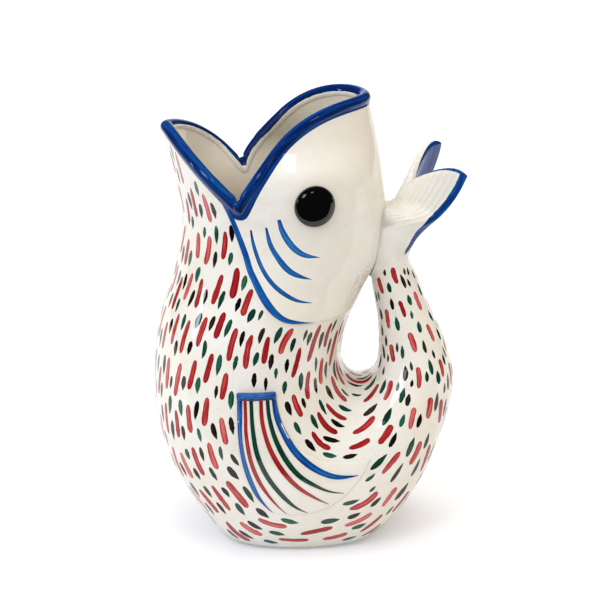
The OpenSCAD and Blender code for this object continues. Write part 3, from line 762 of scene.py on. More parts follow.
def fin_height(u, w):
    across = np.sqrt(np.maximum(0, 1 - np.abs(2 * u - 1) ** 5))
    sheet = mix(fin_sheet * fin_thick, fin_thin, ease(w)) * np.sqrt(np.maximum(0, 1 - w**8))
    sheet = np.where(w * fin_length > fin_roll / 2, sheet, 0)
    return fin_edge + across * np.maximum(fin_thick * roll_round(w), sheet)


def fin_seat(u, w):
    q = fin_outline(u, w)
    return seat(q[..., 0], q[..., 1], X_WAY, Z_WAY, 2.0, 80.0)


def side_fin_skin(u, w):
    u, w = arrays(u, w)
    v, t = fin_seat(u, w)
    return off_skin(v, t, fin_height(u, w))


fin_us = (1 - cosd(np.linspace(0, 180, 61))) / 2
fin_ws = np.concatenate([fin_roll / fin_length * (1 - cosd(np.linspace(0, 180, 22))) / 2,
                         mix(fin_roll / fin_length, 1, np.linspace(0, 1, 81)[1:])])
u_grid, w_grid = np.meshgrid(fin_us, fin_ws, indexing="ij")
seat_v, seat_t = fin_seat(u_grid, w_grid)
fin_under = off_skin(seat_v, seat_t, 0)
fin_over = off_skin(seat_v, seat_t, fin_height(u_grid, w_grid))
side_loops = np.concatenate([fin_under, fin_over[:, ::-1]], 1)
half = len(fin_ws)
far = (len(fin_us) - 1) * 2 * half
side_faces = loop_quads(len(fin_us), 2 * half, False)
for i in range(half - 1):
    a, b = 2 * half - 1 - i, 2 * half - 2 - i
    side_faces.append([i + 1, i, a, b])
    side_faces.append([far + i, far + i + 1, far + b, far + a])
side_fins = []
for name, node, mirror in (("side_fin_near", "side_fin_left", 1), ("side_fin_far", "side_fin_right", -1)):
    fin = make_mesh(name, side_loops * [1, mirror, 1], side_faces)
    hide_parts(node)
    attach(fin, "root")
    side_fins.append(fin)

# %% [markdown]
# ## Eyes
# Each eye is a low dome under thick black glaze. A squashed sphere pushed into the head would leave
# a sharp crease, so the dome has a small upright rim, and its back is shaped to the head.

# %% Eyes
eye_rings, eye_sides, eye_rim = 36, 96, 0.9
eye_v, eye_t = seat(eye_x, eye_z, X_WAY, Z_WAY, row_of(eye_z), 100.0)
eye_centre = skin(eye_v, eye_t)
eye_out = normal_of(skin, eye_v, eye_t)
eye_across = unit(np.cross([0, 0, 1], eye_out))
eye_upward = np.cross(eye_out, eye_across)
shares = 1 - (np.arange(eye_rings) / eye_rings) ** 1.7
angle = np.arange(eye_sides) * 360 / eye_sides
reach = shares[:, None] * eye_d / 2
back_v, back_t = seat(
    eye_centre @ eye_across + reach * cosd(angle), eye_centre @ eye_upward + reach * sind(angle),
    eye_across, eye_upward, eye_v, eye_t)
eye_backs = skin(back_v, back_t)
domes = np.maximum(0, 1 - shares**2.6) ** 0.55
eye_tops = eye_backs + mix(eye_rim, eye_proud, domes)[:, None, None] * eye_out
eye_loops = np.concatenate([eye_tops[::-1], eye_backs])
eye_count = 2 * eye_rings * eye_sides
eye_faces = loop_quads(2 * eye_rings, eye_sides, False) + cap(0, eye_sides, eye_count)
eye_faces += cap(eye_count - eye_sides, eye_sides, eye_count + 1, True)
eye_points = np.concatenate([eye_loops.reshape(-1, 3), [eye_centre + eye_out * eye_proud, eye_centre]])
eyes = []
for name, node, mirror in (("eye_near", "eye_left", 1), ("eye_far", "eye_right", -1)):
    eye = make_mesh(name, eye_points * [1, mirror, 1], eye_faces)
    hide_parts(node)
    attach(eye, "root")
    eyes.append(eye)

# %% [markdown]
# ## Brush strokes
# The jug was decorated with a loaded brush before glazing, so each stroke is a thin even film of
# colour with a crisp outline. Painting strokes into a texture would need an image or a very fine
# mesh. Here each stroke is its own thin closed film laid on the surface, a few hundredths of a
# millimetre proud. It takes the surface's own normals, so the glaze over it shines without a break.


# %% Moving over a surface by real distances
def tangents(on, a, b):
    da = (on(a + 0.01, b) - on(a - 0.01, b)) / 0.02
    db = (on(a, b + 0.05) - on(a, b - 0.05)) / 0.1
    return da, db


def step_by(on, a, b, vector):
    """The change of a and b that moves a point by a vector along the surface."""
    da, db = tangents(on, a, b)
    aa, ab, bb = (da * da).sum(-1), (da * db).sum(-1), (db * db).sum(-1)
    ra, rb = (da * vector).sum(-1), (db * vector).sum(-1)
    det = np.maximum(aa * bb - ab * ab, 1e-9)
    return (ra * bb - rb * ab) / det, (rb * aa - ra * ab) / det


def walk(on, a, b, heading, bend, lengths, steps):
    """Paths through many starting points at once, a number of steps to both sides of each."""
    half_steps = steps // 2
    places = [(a, b)]
    for way in (-1, 1):
        pa, pb = a, b
        side = []
        for i in range(half_steps):
            da, db = tangents(on, pa, pb)
            forward = unit(da)
            normal = unit(np.cross(da, db))
            angle = heading + bend * way * (i + 0.5) / half_steps
            turned = forward * cosd(angle)[:, None] + np.cross(normal, forward) * sind(angle)[:, None]
            move = turned * (way * lengths / steps)[:, None]
            sa, sb = step_by(on, pa, pb, move)
            pa, pb = pa + sa, pb + sb
            side.append((pa, pb))
        places = side[::-1] + places if way < 0 else places + side
    return np.stack([p[0] for p in places], 1), np.stack([p[1] for p in places], 1)


# %% Films of paint
across_places = np.array([-1, -0.82, -0.45, 0, 0.45, 0.82, 1])
film_top, film_edge, film_under = 0.07, 0.02, 0.25


def lay_film(on, path_a, path_b, half_widths, tones, lift=0.0):
    """Points, normals and attributes of strokes: one loop of points for each place on each path."""
    da, db = tangents(on, path_a, path_b)
    normal = unit(np.cross(da, db))
    centre = on(path_a, path_b)
    along = unit(np.gradient(centre, axis=1))
    side = unit(np.cross(normal, along))
    shifts = side[:, :, None] * (half_widths[:, :, None] * across_places)[..., None]
    a = np.broadcast_to(path_a[:, :, None], shifts.shape[:3])
    b = np.broadcast_to(path_b[:, :, None], shifts.shape[:3])
    sa, sb = step_by(on, a, b, shifts)
    a, b = a + sa, b + sb
    top_normals = normal_of(on, a, b, 0.01, 0.1)
    surface = on(a, b)
    rise = mix(film_edge, film_top, np.sqrt(1 - across_places**2)) + lift
    top = surface + rise[:, None] * top_normals
    under = (surface - film_under * top_normals)[:, :, [6, 3, 0]]
    points = np.concatenate([top, under], 2)
    normals = np.concatenate([top_normals, -top_normals[:, :, [6, 3, 0]]], 2)
    across = np.concatenate([across_places, [1, 0, -1]])
    lengths = lengths_along(centre, 1)
    shape = points.shape[:3]
    ends = np.linspace(-1, 1, path_a.shape[1])
    rim = np.maximum(np.abs(across) ** 3, np.abs(ends)[:, None] ** 6)
    attributes = {
        "across_mm": np.broadcast_to(across, shape) * half_widths[:, :, None],
        "along_mm": np.broadcast_to(lengths[:, :, None], shape),
        "tone": np.broadcast_to(tones[:, None, None], shape),
        "rim": np.broadcast_to(rim, shape)}
    return points, normals, attributes


def film_faces(strokes, loops, n):
    faces = []
    one = loop_quads(loops, n, False)
    ends = [list(range(n))[::-1], [(loops - 1) * n + i for i in range(n)]]
    for s in range(strokes):
        base = s * loops * n
        faces += [[base + i for i in f] for f in one + ends]
    return faces


painted = {}


def make_film(name, films, mirror=1):
    """One painted object from several films; each has its own count of strokes and loops."""
    points, normals, faces, attributes, base = [], [], [], {}, 0
    for film_points, film_normals, film_attributes in films:
        strokes, loops, n = film_points.shape[:3]
        faces += [[base + i for i in f] for f in film_faces(strokes, loops, n)]
        base += strokes * loops * n
        points.append(film_points.reshape(-1, 3))
        normals.append(film_normals.reshape(-1, 3))
        for key, values in film_attributes.items():
            attributes.setdefault(key, []).append(np.asarray(values).ravel())
    attributes = {key: np.concatenate(values) for key, values in attributes.items()}
    points = np.concatenate(points) * [1, mirror, 1]
    normals = np.concatenate(normals) * [1, mirror, 1]
    painted[name] = make_mesh(name, points, faces, normals, attributes)
    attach(painted[name], "root")


def stroke_shape(places, kind):
    """Half width along a stroke, as a share of its widest: places run from -1 to 1."""
    if kind == "dash":
        return np.maximum(0, 1 - np.abs(places) ** 5) ** 0.5 * (0.94 + 0.08 * places)
    tail_end = np.where(places > 0, 1 - places**1.5, np.maximum(0, 1 - (-places) ** 2.6) ** 0.6)
    return np.maximum(0, tail_end) ** 0.85


# %% [markdown]
# ## The dashes
# Long red dashes run along the fish in columns, and between them smaller almond dabs take turns in
# green and brown-black. Where the fish gets thin there are half as many columns, and a quarter on
# the tail, and the strokes get smaller. Each stroke has the small slips of a hand, from a seeded
# random generator. A stroke that would touch another, a fin or the rim is moved a little, made
# smaller or left out, and dabs fill the places that stay bare.

# %% Where the columns run
dash_count, half_period, dash_long, dash_wide = 34, 13.0, 17.6, 3.7
dab_long, dab_wide = 10.4, 3.3
usual_gap, half_gap, quarter_gap = 10.7, 7.5, 4.2
rim_room, gill_room, fin_room, foot_room = 2.2, 1.4, 2.4, 3.5
rng = np.random.default_rng(23)
last_row = 13.35
edge_places = np.linspace(0, 1, 60)
fin_border = np.concatenate([
    bow(front_edge, edge_places), fin_outline(edge_places, np.ones(60)),
    bow(back_edge, edge_places)[::-1], [front_edge[0]]])


def fin_clear(x, z, margin):
    """True where a point on the side of the belly lies clear of the side fin."""
    inside = np.zeros(np.shape(x), bool)
    nearest = np.full(np.shape(x), 1e9)
    for (x1, z1), (x2, z2) in zip(fin_border[:-1], fin_border[1:]):
        crosses = (z1 > z) != (z2 > z)
        with np.errstate(divide="ignore", invalid="ignore"):
            at = x1 + (z - z1) / (z2 - z1) * (x2 - x1)
        inside ^= crosses & (x < at)
        nearest = np.minimum(nearest, np.hypot(x - x1, z - z1))
    return ~inside & (nearest > margin)


def column_places(t, start, period):
    """Places down a column, at real distances that follow the size of the strokes."""
    v = np.linspace(float(top_row(np.array(t))), last_row, 900)
    p = skin(v, np.full(v.shape, t))
    s = lengths_along(p)
    found, here = [], start
    while here < s[-1]:
        place = float(np.interp(here, s, v))
        size = float(stroke_size(place, t))
        found.append((place, size))
        here += period * size
    return found


def column_gap(v, t):
    down, beside = tangents(skin, v, t)
    return np.linalg.norm(np.cross(unit(down), beside), axis=-1) * 360 / dash_count


def stroke_size(v, t):
    gap = column_gap(v, t)
    gap = np.where(gap < half_gap, np.maximum(2 * gap, 7.0), gap)
    return np.clip((gap / usual_gap) ** 0.75, 0.5, 1.06)


# %% Choosing every stroke
strokes = {"red": [], "dab": []}
for c in range(2 * dash_count):
    t = (c + 0.5) * 180 / dash_count
    start = rng.uniform(0, 6) + (0.62 * (c // 2) % 1) * 2 * half_period
    late = int(start // half_period)
    turn_order = int(rng.integers(0, 2))
    for k, (v, size) in enumerate(column_places(t, start % half_period, half_period)):
        gap = float(column_gap(v, t))
        slip = rng.normal(0, 1, 6)
        crowd = 2 if gap > half_gap else 4 if gap > quarter_gap else 8
        if c % (crowd // 2) or (c % crowd == 0 and (k + late) % 2):
            continue
        kind = "dab" if c % crowd else "red"
        long = (dab_long if kind == "dab" else dash_long) * size * (1 + 0.10 * slip[0])
        wide = (dab_wide if kind == "dab" else dash_wide) * mix(1, size, 0.8) * (1 + 0.09 * slip[1])
        if crowd > 2 and kind == "red":
            long = long * 0.8
        tone = np.clip(0.5 + 0.3 * slip[5], 0, 1)
        strokes[kind].append([v, t + 0.6 * slip[2], long, wide, 4 * slip[3], 5 * slip[4], tone,
                              (k + turn_order) % 2])
strokes = {key: np.array(rows) for key, rows in strokes.items()}
print({key: len(rows) for key, rows in strokes.items()})


# %% Leaving out the strokes that would touch something
def moved(rows, along, across):
    """The same strokes, moved by millimetres along their column and across it."""
    v, t = rows[:, 0], rows[:, 1]
    out = rows.copy()
    out[:, 0] += along * 0.1 / np.linalg.norm(skin(v + 0.05, t) - skin(v - 0.05, t), axis=-1)
    out[:, 1] += across * 2 / np.linalg.norm(skin(v, t + 1) - skin(v, t - 1), axis=-1)
    return out


def clear_strokes(rows):
    """Which strokes stay off the rim, the gill covers, the fins, the foot and the nape."""
    keep = np.ones(len(rows), bool)
    path_v, path_t = walk(skin, rows[:, 0], rows[:, 1] % 360, rows[:, 4], rows[:, 5], rows[:, 2], 8)
    for pv, pt in zip(path_v.T, path_t.T % 360):
        p = skin(pv, pt)
        top = np.where(has_gill(pt), gill_height(pt) - gill_room, rim_height(pt) - rim_room)
        keep &= (pv > 0) | (p[:, 2] < top)
        keep &= fin_clear(p[:, 0], p[:, 2], fin_room) | (np.abs(p[:, 1]) < 20)
        keep &= p[:, 2] > foot_height + foot_room
        shift = np.linalg.norm(tail_skin(pv, pt) - p, axis=-1)
        keep &= (pv < join_row) | (shift < 0.3) & (pv < last_row)
    return keep, skin(path_v, path_t)


def spaced_strokes(rows, taken, halves, room, shifts):
    """Takes the strokes one by one, each at the first place and size of a few that has room."""
    choices = [moved(rows, along, across) * [1, 1, share, share, 1, 1, 1, 1]
               for along, across, share in shifts]
    tested = [clear_strokes(choice) for choice in choices]
    kept, middles = [], np.array([place[4] for place in taken]).reshape(-1, 3)
    for i in range(len(rows)):
        for choice, (clear, places) in zip(choices, tested):
            place, half = places[i], choice[i, 3] / 2
            near = np.flatnonzero(np.linalg.norm(middles - place[4], axis=1) < 20)
            gaps = [np.linalg.norm(taken[k][:, None] - place, axis=-1).min() - halves[k] for k in near]
            if clear[i] and (not gaps or min(gaps) > half + room):
                taken.append(place)
                halves.append(half)
                middles = np.concatenate([middles, place[4][None]])
                kept.append(choice[i])
                break
    return np.array(kept)


taken, halves = [], []
near_places = [
    (0, 0, 1), (0, 0.7, 1), (0, -0.7, 1), (1.6, 0, 1), (-1.6, 0, 1), (1.6, 0.8, 0.9), (-1.6, -0.8, 0.9),
    (1.6, -0.8, 0.9), (-1.6, 0.8, 0.9), (3.2, 0, 0.9), (-3.2, 0, 0.9), (0, 0, 0.75), (0, 1, 0.75),
    (0, -1, 0.75)]
reds = spaced_strokes(strokes["red"], taken, halves, 0.9, near_places)
dabs = spaced_strokes(strokes["dab"], taken, halves, 0.5, near_places)

# %% Dabs for the places that are still bare
bare_count = 6000
bare_v = rng.uniform(-3, last_row, bare_count)
bare_t = rng.uniform(0, 360, bare_count)
bare_size = stroke_size(bare_v, bare_t)
slip = rng.normal(0, 1, (4, bare_count))
bare = np.stack([
    bare_v, bare_t, dab_long * bare_size * (1 + 0.1 * slip[0]), dab_wide * mix(1, bare_size, 0.8),
    4 * slip[1], 5 * slip[2], np.clip(0.5 + 0.28 * slip[3], 0, 1), np.arange(bare_count) % 2], 1)
bare = bare[bare_v > top_row(bare_t)]
fill = spaced_strokes(bare, taken, halves, 0.75, [(0, 0, 1), (0, 0, 0.8), (0, 0, 0.65)])
dabs = np.concatenate([dabs, fill])
strokes = {"red": reds, "green": dabs[dabs[:, 7] == 0], "black": dabs[dabs[:, 7] == 1]}
print({key: len(rows) for key, rows in strokes.items()}, "strokes stay")


# %% Making the strokes
def stroke_film(rows, kind, loops=13):
    v, t, long, wide, tilt, bend, tone = rows.T[:7]
    steps = 2 * ((loops - 1) // 2)
    path_v, path_t = walk(skin, v, t, tilt, bend, long, steps)
    places = np.linspace(-1, 1, steps + 1)
    spaced = np.sin(places * np.pi / 2)
    path_v = np.stack([np.interp(spaced, places, row) for row in path_v])
    path_t = np.stack([np.interp(spaced, places, row) for row in path_t])
    wobble = 1 + 0.05 * rng.normal(0, 1, path_v.shape)
    half = np.maximum(stroke_shape(spaced, kind) * wide[:, None] / 2 * wobble, 0.03)
    return lay_film(skin, path_v, path_t, half, tone)


make_film("red_dashes", [stroke_film(strokes["red"], "dash")])
make_film("green_dashes", [stroke_film(strokes["green"], "dab")])
make_film("black_dashes", [stroke_film(strokes["black"], "dab")])

# %% [markdown]
# ## Gill strokes
# A blue line follows the edge of each gill cover and thins out under the eye, and three curved
# strokes above it start blunt and end in a fine tip. They are films like the dashes. Each runs along
# a smooth path through a few points, seen from the side, and a few widths say how the brush pressed.


# %% Gill line and gill strokes
def fine_path(points, count):
    """A smooth path through a few points, evenly spaced by length."""
    points = np.asarray(points, float)
    rows = blend_rows(points, np.linspace(0, len(points) - 1, 40 * len(points)))
    s = lengths_along(rows)
    even = np.linspace(0, s[-1], count)
    return np.stack([np.interp(even, s, rows[:, k]) for k in range(rows.shape[1])], 1)


def head_path(points, count):
    """A path over the side of the head, given by its x and z."""
    xz = fine_path(points, count)
    v, t = seat(xz[:, 0], xz[:, 1], X_WAY, Z_WAY, row_of(170.0), 80.0)
    return v[None], t[None]


def brush_width(count, widths):
    table = np.array([[i / (len(widths) - 1), w] for i, w in enumerate(widths)])
    return np.maximum(curve(table, np.linspace(0, 1, count)), 0.05)[None]


gill_strokes = [
    [(-23, 180.5), (-21.4, 172), (-17.6, 161.5), (-12.7, 153.7), (-6.4, 147.8), (1, 143.3), (9.2, 141)],
    [(-15, 182.4), (-12.7, 173), (-8.3, 165.5), (-3.3, 159.6), (2.3, 156.3), (8.9, 154)],
    [(-8.3, 187), (-6.4, 180.5), (-2.7, 174), (1.7, 169.4), (6.7, 166.8), (13.2, 165.5)]]
gill_widths = [[0.5, 0.95, 1.05, 1.15, 1.2, 0.9, 0.06], [0.55, 1.15, 1.4, 1.6, 1.2, 0.06],
               [0.9, 1.45, 1.7, 1.6, 1.1, 0.06]]
films = []
for k, (points, widths) in enumerate(zip(gill_strokes, gill_widths)):
    path_v, path_t = head_path(points, 60)
    films.append(lay_film(head_skin, path_v, path_t, brush_width(60, widths), np.array([0.5 + 0.12 * k])))
line_t = np.linspace(gill_start + 0.3, corner_turn + 57, 170)
line_v = row_of(gill_height(line_t) + 0.35)
line_at = skin(line_v, line_t)
line_run = lengths_along(line_at)
line_widths = np.array([[0, 1.45], [0.45, 1.7], [0.66, 2.0], [0.84, 1.25], [1, 0.05]])
line_half = curve(line_widths, line_run / line_run[-1])
line_side = unit(np.cross(normal_of(skin, line_v, line_t), np.gradient(line_at, axis=0)))
line_side *= np.sign(line_side[:, 2:])
move_v, move_t = step_by(skin, line_v, line_t, line_side * line_half[:, None])
films.append(lay_film(
    head_skin, (line_v + move_v)[None], (line_t + move_t)[None], line_half[None], np.array([0.45]), 0.03))
make_film("gill_strokes_near", films)
make_film("gill_strokes_far", films, -1)

# %% [markdown]
# ## Fin stripes
# Each side fin has a blue line down both edges and red and green stripes between them that thin
# out to fine tips towards the swept end. A path's place on the fin is found by Newton's method, and
# the part of a path that runs off the fin is left out.


# %% Fin stripes
def fin_place(x, z):
    """The place u, w on a side fin that lies at x and z."""
    u, w = np.full(np.shape(x), 0.5), np.full(np.shape(x), 0.5)
    for _ in range(25):
        p = fin_outline(u, w)
        pu, pw = (fin_outline(u + 0.001, w) - p) * 1000, (fin_outline(u, w + 0.001) - p) * 1000
        det = pu[..., 0] * pw[..., 1] - pw[..., 0] * pu[..., 1]
        ex, ez = x - p[..., 0], z - p[..., 1]
        u = np.clip(u + np.clip((ex * pw[..., 1] - ez * pw[..., 0]) / det, -0.2, 0.2), 0.01, 0.99)
        w = np.clip(w + np.clip((ez * pu[..., 0] - ex * pu[..., 1]) / det, -0.2, 0.2), 0.03, 0.99)
    return u, w


def stripe_skin(a, b):
    """The side fin by 2 u and 20 w, so that a step of one rule fits both ways."""
    return side_fin_skin(a / 2, b / 20)


def stripe_film(tone, widths, *points):
    xz = fine_path(points, 90)
    u, w = fin_place(xz[:, 0], xz[:, 1])
    found = (np.linalg.norm(fin_outline(u, w) - xz, axis=-1) < 1.5) & (w < 0.985)
    u, w = u[found], w[found]
    half = 1.08 * brush_width(len(u), widths)
    return lay_film(stripe_skin, 2 * u[None], 20 * w[None], half, np.array([tone]), 0.02)


fin_paint = {
    "blue": [
        (0.6, (1.35, 1.3, 1.25, 1.3, 1.35, 1.35, 1.0, 0.06), (-28.9, 93), (-28.9, 83), (-28.9, 73),
         (-27.6, 61), (-24.8, 49.5), (-20.5, 38.5), (-16, 31), (-11.8, 25.6)),
        (0.5, (1.4, 1.55, 1.65, 1.7, 1.7, 1.5, 1.1, 0.06), (-11.6, 93), (-10, 82.6), (-6.1, 72.6),
         (-0.5, 62.6), (7, 54.6), (15.4, 49.1), (23.9, 46.4), (36.2, 46.5))],
    "red": [
        (0.35, (0.75, 0.8, 0.85, 0.95, 1.0, 0.9, 0.5, 0.05), (-26.2, 93), (-25.9, 82), (-25.6, 72.6),
         (-23.4, 58.6), (-19.2, 46.7), (-13.6, 37.2), (-7, 28.9), (-0.5, 22.6)),
        (0.4, (0.85, 0.95, 1.0, 1.15, 1.2, 1.05, 0.7, 0.05), (-18.3, 93), (-17.4, 79.6), (-13.6, 65.6),
         (-7, 52.7), (1.4, 42.6), (11.7, 35.1), (19.2, 30.9), (25, 28.8))],
    "green": [
        (0.4, (0.85, 0.95, 1.1, 1.15, 1.15, 0.95, 0.05), (-23.2, 93), (-22.4, 77.6), (-20.1, 62.6),
         (-15.5, 50.7), (-8.9, 40.5), (-0.5, 31.2), (8.9, 25.4)),
        (0.45, (0.85, 0.95, 1.1, 1.25, 1.25, 1.1, 0.6, 0.05), (-15, 93), (-14, 82.6), (-10.8, 70.6),
         (-5.2, 58.6), (2.3, 48.7), (11.7, 42.2), (20.1, 38.4), (30.4, 36.7))]}
for key, stripes in fin_paint.items():
    films = [stripe_film(*stripe) for stripe in stripes]
    make_film(f"fin_{key}_near", films)
    make_film(f"fin_{key}_far", films, -1)

# %% [markdown]
# ## Blue under the lip bead
# The blue of the bead runs over on the wall below it, widest at the mouth's corners, because the
# brush was wider than the roll. It is one more film, which runs all round the mouth.


# %% The blue band on the wall
def coat_skin(v, t):
    """The outer skin with the relief of the gill covers where they are."""
    z = belt - row_step * v
    relief = np.where(has_gill(t) & (z > gill_height(t)), gill_edge(t, z), 0)
    return off_skin(v, t, relief)


band_t = np.linspace(0, 360, 541)
past = from_front(band_t) - corner_turn
band_deep = 0.9 + 1.5 * np.exp(-((past - 3) / 8) ** 2) + 0.8 * np.exp(-((past - 18) / 14) ** 2)
band_v = row_of(rim_height(band_t))
band_at = skin(band_v, band_t)
band_up = unit(np.cross(normal_of(skin, band_v, band_t), np.gradient(band_at, axis=0)))
band_up *= np.sign(band_up[:, 2:])
move_v, move_t = step_by(skin, band_v, band_t, -band_up * (band_deep[:, None] - 0.6) / 2)
band = lay_film(coat_skin, (band_v + move_v)[None], (band_t + move_t)[None], (band_deep[None] + 0.6) / 2,
                np.array([0.35]), 0.02)
make_film("rim_band", [band])

# %% [markdown]
# ## Materials
# The body is cream earthenware under a clear glossy glaze. The fired clay scatters light like chalk
# and takes a base roughness of about 0.4. The glaze is glass, with an IOR of 1.5 and almost no
# roughness, and it is the shader's coat. The colours are underglaze stains, so they share the coat.


# %% Helpers for colours and nodes
def linear(hex_colour):
    """An sRGB hex colour as the linear values that a shader wants."""
    parts = [int(hex_colour[i:i + 2], 16) / 255 for i in (1, 3, 5)]
    return [p / 12.92 if p <= 0.04045 else ((p + 0.055) / 1.055) ** 2.4 for p in parts] + [1.0]


def add_node(tree, kind, inputs=None, **settings):
    """Adds a node with its settings. Each input gets a number, a hex colour, or a link from a socket
    or from the first output that another node has in use."""
    node = tree.nodes.new(kind)
    for key, value in settings.items():
        setattr(node, key, value)
    for key, value in (inputs or {}).items():
        if isinstance(value, bpy.types.Node):
            value = next(output for output in value.outputs if output.enabled)
        if isinstance(value, bpy.types.NodeSocket):
            tree.links.new(value, node.inputs[key])
        else:
            node.inputs[key].default_value = linear(value) if isinstance(value, str) else value
    return node


def new_material(name):
    material = bpy.data.materials.new(name)
    material.use_nodes = True
    tree = material.node_tree
    tree.nodes.clear()
    return material, tree


def place_mm(tree):
    """The place on the jug in millimetres."""
    at = add_node(tree, "ShaderNodeTexCoord").outputs["Object"]
    return add_node(tree, "ShaderNodeVectorMath", {0: at, "Scale": 1000.0}, operation="SCALE")


# %% [markdown]
# The glaze is poured, so its surface is not quite flat: it has a slow waviness of about 20 mm and a
# very faint orange peel of about 3 mm. Both are bump, a few hundredths of a millimetre deep.


# %% The clear glaze
def glaze_over(tree, colour, depth=1.0, relief=None):
    """Ends a material in a clay body of the given colour under a coat of clear glaze."""
    place = place_mm(tree)
    wave = add_node(tree, "ShaderNodeTexNoise", {"Vector": place, "Scale": 1 / 20, "Detail": 1.0})
    peel = add_node(tree, "ShaderNodeTexNoise", {"Vector": place, "Scale": 1 / 3, "Detail": 1.0})
    bumps = [(wave, 0.35 * depth, 0.0012), (peel, 0.12 * depth, 0.0001)]
    if relief:
        bumps.append((relief, 0.6, 0.0004))
    before = {}
    for height, strength, distance in bumps:
        inputs = {"Height": height, "Strength": strength, "Distance": distance, **before}
        before = {"Normal": add_node(tree, "ShaderNodeBump", inputs)}
    normal = before["Normal"]
    shader = add_node(tree, "ShaderNodeBsdfPrincipled", {
        "Base Color": colour, "Roughness": 0.42, "IOR": 1.5, "Specular IOR Level": 0.0, "Coat Weight": 1.0,
        "Coat Roughness": 0.03, "Coat IOR": 1.5, "Normal": normal, "Coat Normal": normal})
    add_node(tree, "ShaderNodeOutputMaterial", {"Surface": shader})


# %% [markdown]
# Cream glaze over earthenware is never one colour. Slow clouds of about 40 mm show the glaze's
# thickness, finer ones of 6 mm its settling, and a few iron specks of under half a millimetre come
# from the clay. Inside the jug it is painted warmer and darker: painted shade of the hollow, and
# glaze that lies thick there. It is finely crazed behind the gill covers. Both places come from
# values that the meshes carry.


# %% Cream glazed earthenware
def cream_colour(tree):
    place = place_mm(tree)
    clouds, settling, grain = (
        add_node(tree, "ShaderNodeTexNoise", {"Vector": place, "Scale": 1 / size_mm, "Detail": detail})
        for size_mm, detail in ((40, 2.0), (6, 3.0), (1.4, 3.0)))
    spots = add_node(tree, "ShaderNodeTexVoronoi", {"Vector": place, "Scale": 1 / 9})
    inside_shade_and_glaze, craze = (
        add_node(tree, "ShaderNodeAttribute", attribute_name=name).outputs["Fac"]
        for name in ("inside_shade_and_glaze", "craze"))
    cream = "#F1F1EC"
    # The fourth mix, towards #DDC49A by the inner value, is painted shade inside the hollow of the jug,
    # together with the thick glaze there.
    for value, low, high, most, colour in (
            (clouds, 0.35, 0.65, 1.0, "#EFEBDF"), (settling, 0.45, 0.7, 0.35, "#E9E1D0"),
            (inside_shade_and_glaze, 0.0, 1.0, 1.0, "#DDC49A"), (grain, 0.45, 0.7, craze, "#A98F6B"),
            (spots, 0.045, 0.02, 0.55, "#8D7A60")):
        share = add_node(tree, "ShaderNodeMapRange", {
            "Value": value, "From Min": low, "From Max": high, "To Max": most})
        cream = add_node(tree, "ShaderNodeMix", {0: share, 6: cream, 7: colour}, data_type="RGBA")
    return cream


cream_material, tree = new_material("cream_glazed_earthenware")
glaze_over(tree, cream_colour(tree))

# %% [markdown]
# Underglaze stain is brushed on in one pass. It is dark where it pools at the rim of a stroke, and
# pale in streaks where the bristles left little. Each stroke also has its own tone.


# %% Underglaze paints
def paint_colour(tree, dark, middle, pale, streak_mm=0.7):
    across, along, tone, rim = (
        add_node(tree, "ShaderNodeAttribute", attribute_name=name).outputs["Fac"]
        for name in ("across_mm", "along_mm", "tone", "rim"))
    slow = add_node(tree, "ShaderNodeMath", {0: along, 1: 0.09}, operation="MULTIPLY")
    fast = add_node(tree, "ShaderNodeMath", {0: across, 1: 1 / streak_mm}, operation="MULTIPLY")
    far = add_node(tree, "ShaderNodeMath", {0: tone, 1: 61.0}, operation="MULTIPLY")
    where = add_node(tree, "ShaderNodeCombineXYZ", {"X": slow, "Y": fast, "Z": far})
    streaks = add_node(tree, "ShaderNodeTexNoise", {"Vector": where, "Scale": 1.0, "Detail": 2.5})
    bristle = add_node(tree, "ShaderNodeMapRange", {
        "Value": streaks, "From Min": 0.3, "From Max": 0.7, "To Max": 0.55})
    lit = add_node(tree, "ShaderNodeMath", {0: tone, 1: 0.6, 2: bristle}, operation="MULTIPLY_ADD")
    pooled = add_node(
        tree, "ShaderNodeMath", {0: rim, 1: -0.45, 2: lit}, operation="MULTIPLY_ADD", use_clamp=True)
    ramp = add_node(tree, "ShaderNodeValToRGB", {"Fac": pooled})
    ramp.color_ramp.elements[0].color = linear(dark)
    ramp.color_ramp.elements[1].color = linear(pale)
    ramp.color_ramp.elements.new(0.5).color = linear(middle)
    return ramp


paints = {
    "red": ("iron_red_underglaze", "#8A0F14", "#B0282B", "#E07674"),
    "green": ("chrome_green_underglaze", "#06291F", "#0E4435", "#2A6E58"),
    "black": ("brown_black_underglaze", "#070404", "#120A08", "#3A2A20"),
    "rim": ("deep_cobalt_underglaze", "#041F58", "#0C4290", "#2570BC"),
    "blue": ("cobalt_blue_underglaze", "#06297A", "#1259A6", "#3A8ACC")}
paint_materials = {}
for key, (name, dark, middle, pale) in paints.items():
    paint_materials[key], tree = new_material(name)
    glaze_over(tree, paint_colour(tree, dark, middle, pale))

# %% Blue edges of the fins, by a distance in millimetres that each fin's points carry, and painted shade in the tail fin's rays
fin_material, tree = new_material("cream_earthenware_with_cobalt_edges")
inked = add_node(tree, "ShaderNodeAttribute", attribute_name="blue_mm").outputs["Fac"]
ray = add_node(tree, "ShaderNodeAttribute", attribute_name="ray").outputs["Fac"]
ragged = add_node(tree, "ShaderNodeTexNoise", {"Vector": place_mm(tree), "Scale": 1 / 3, "Detail": 2.0})
shaky = add_node(tree, "ShaderNodeMath", {0: ragged, 1: 0.6, 2: inked}, operation="MULTIPLY_ADD")
mask = add_node(tree, "ShaderNodeMapRange", {"Value": shaky, "From Min": 0.24, "From Max": 0.36})
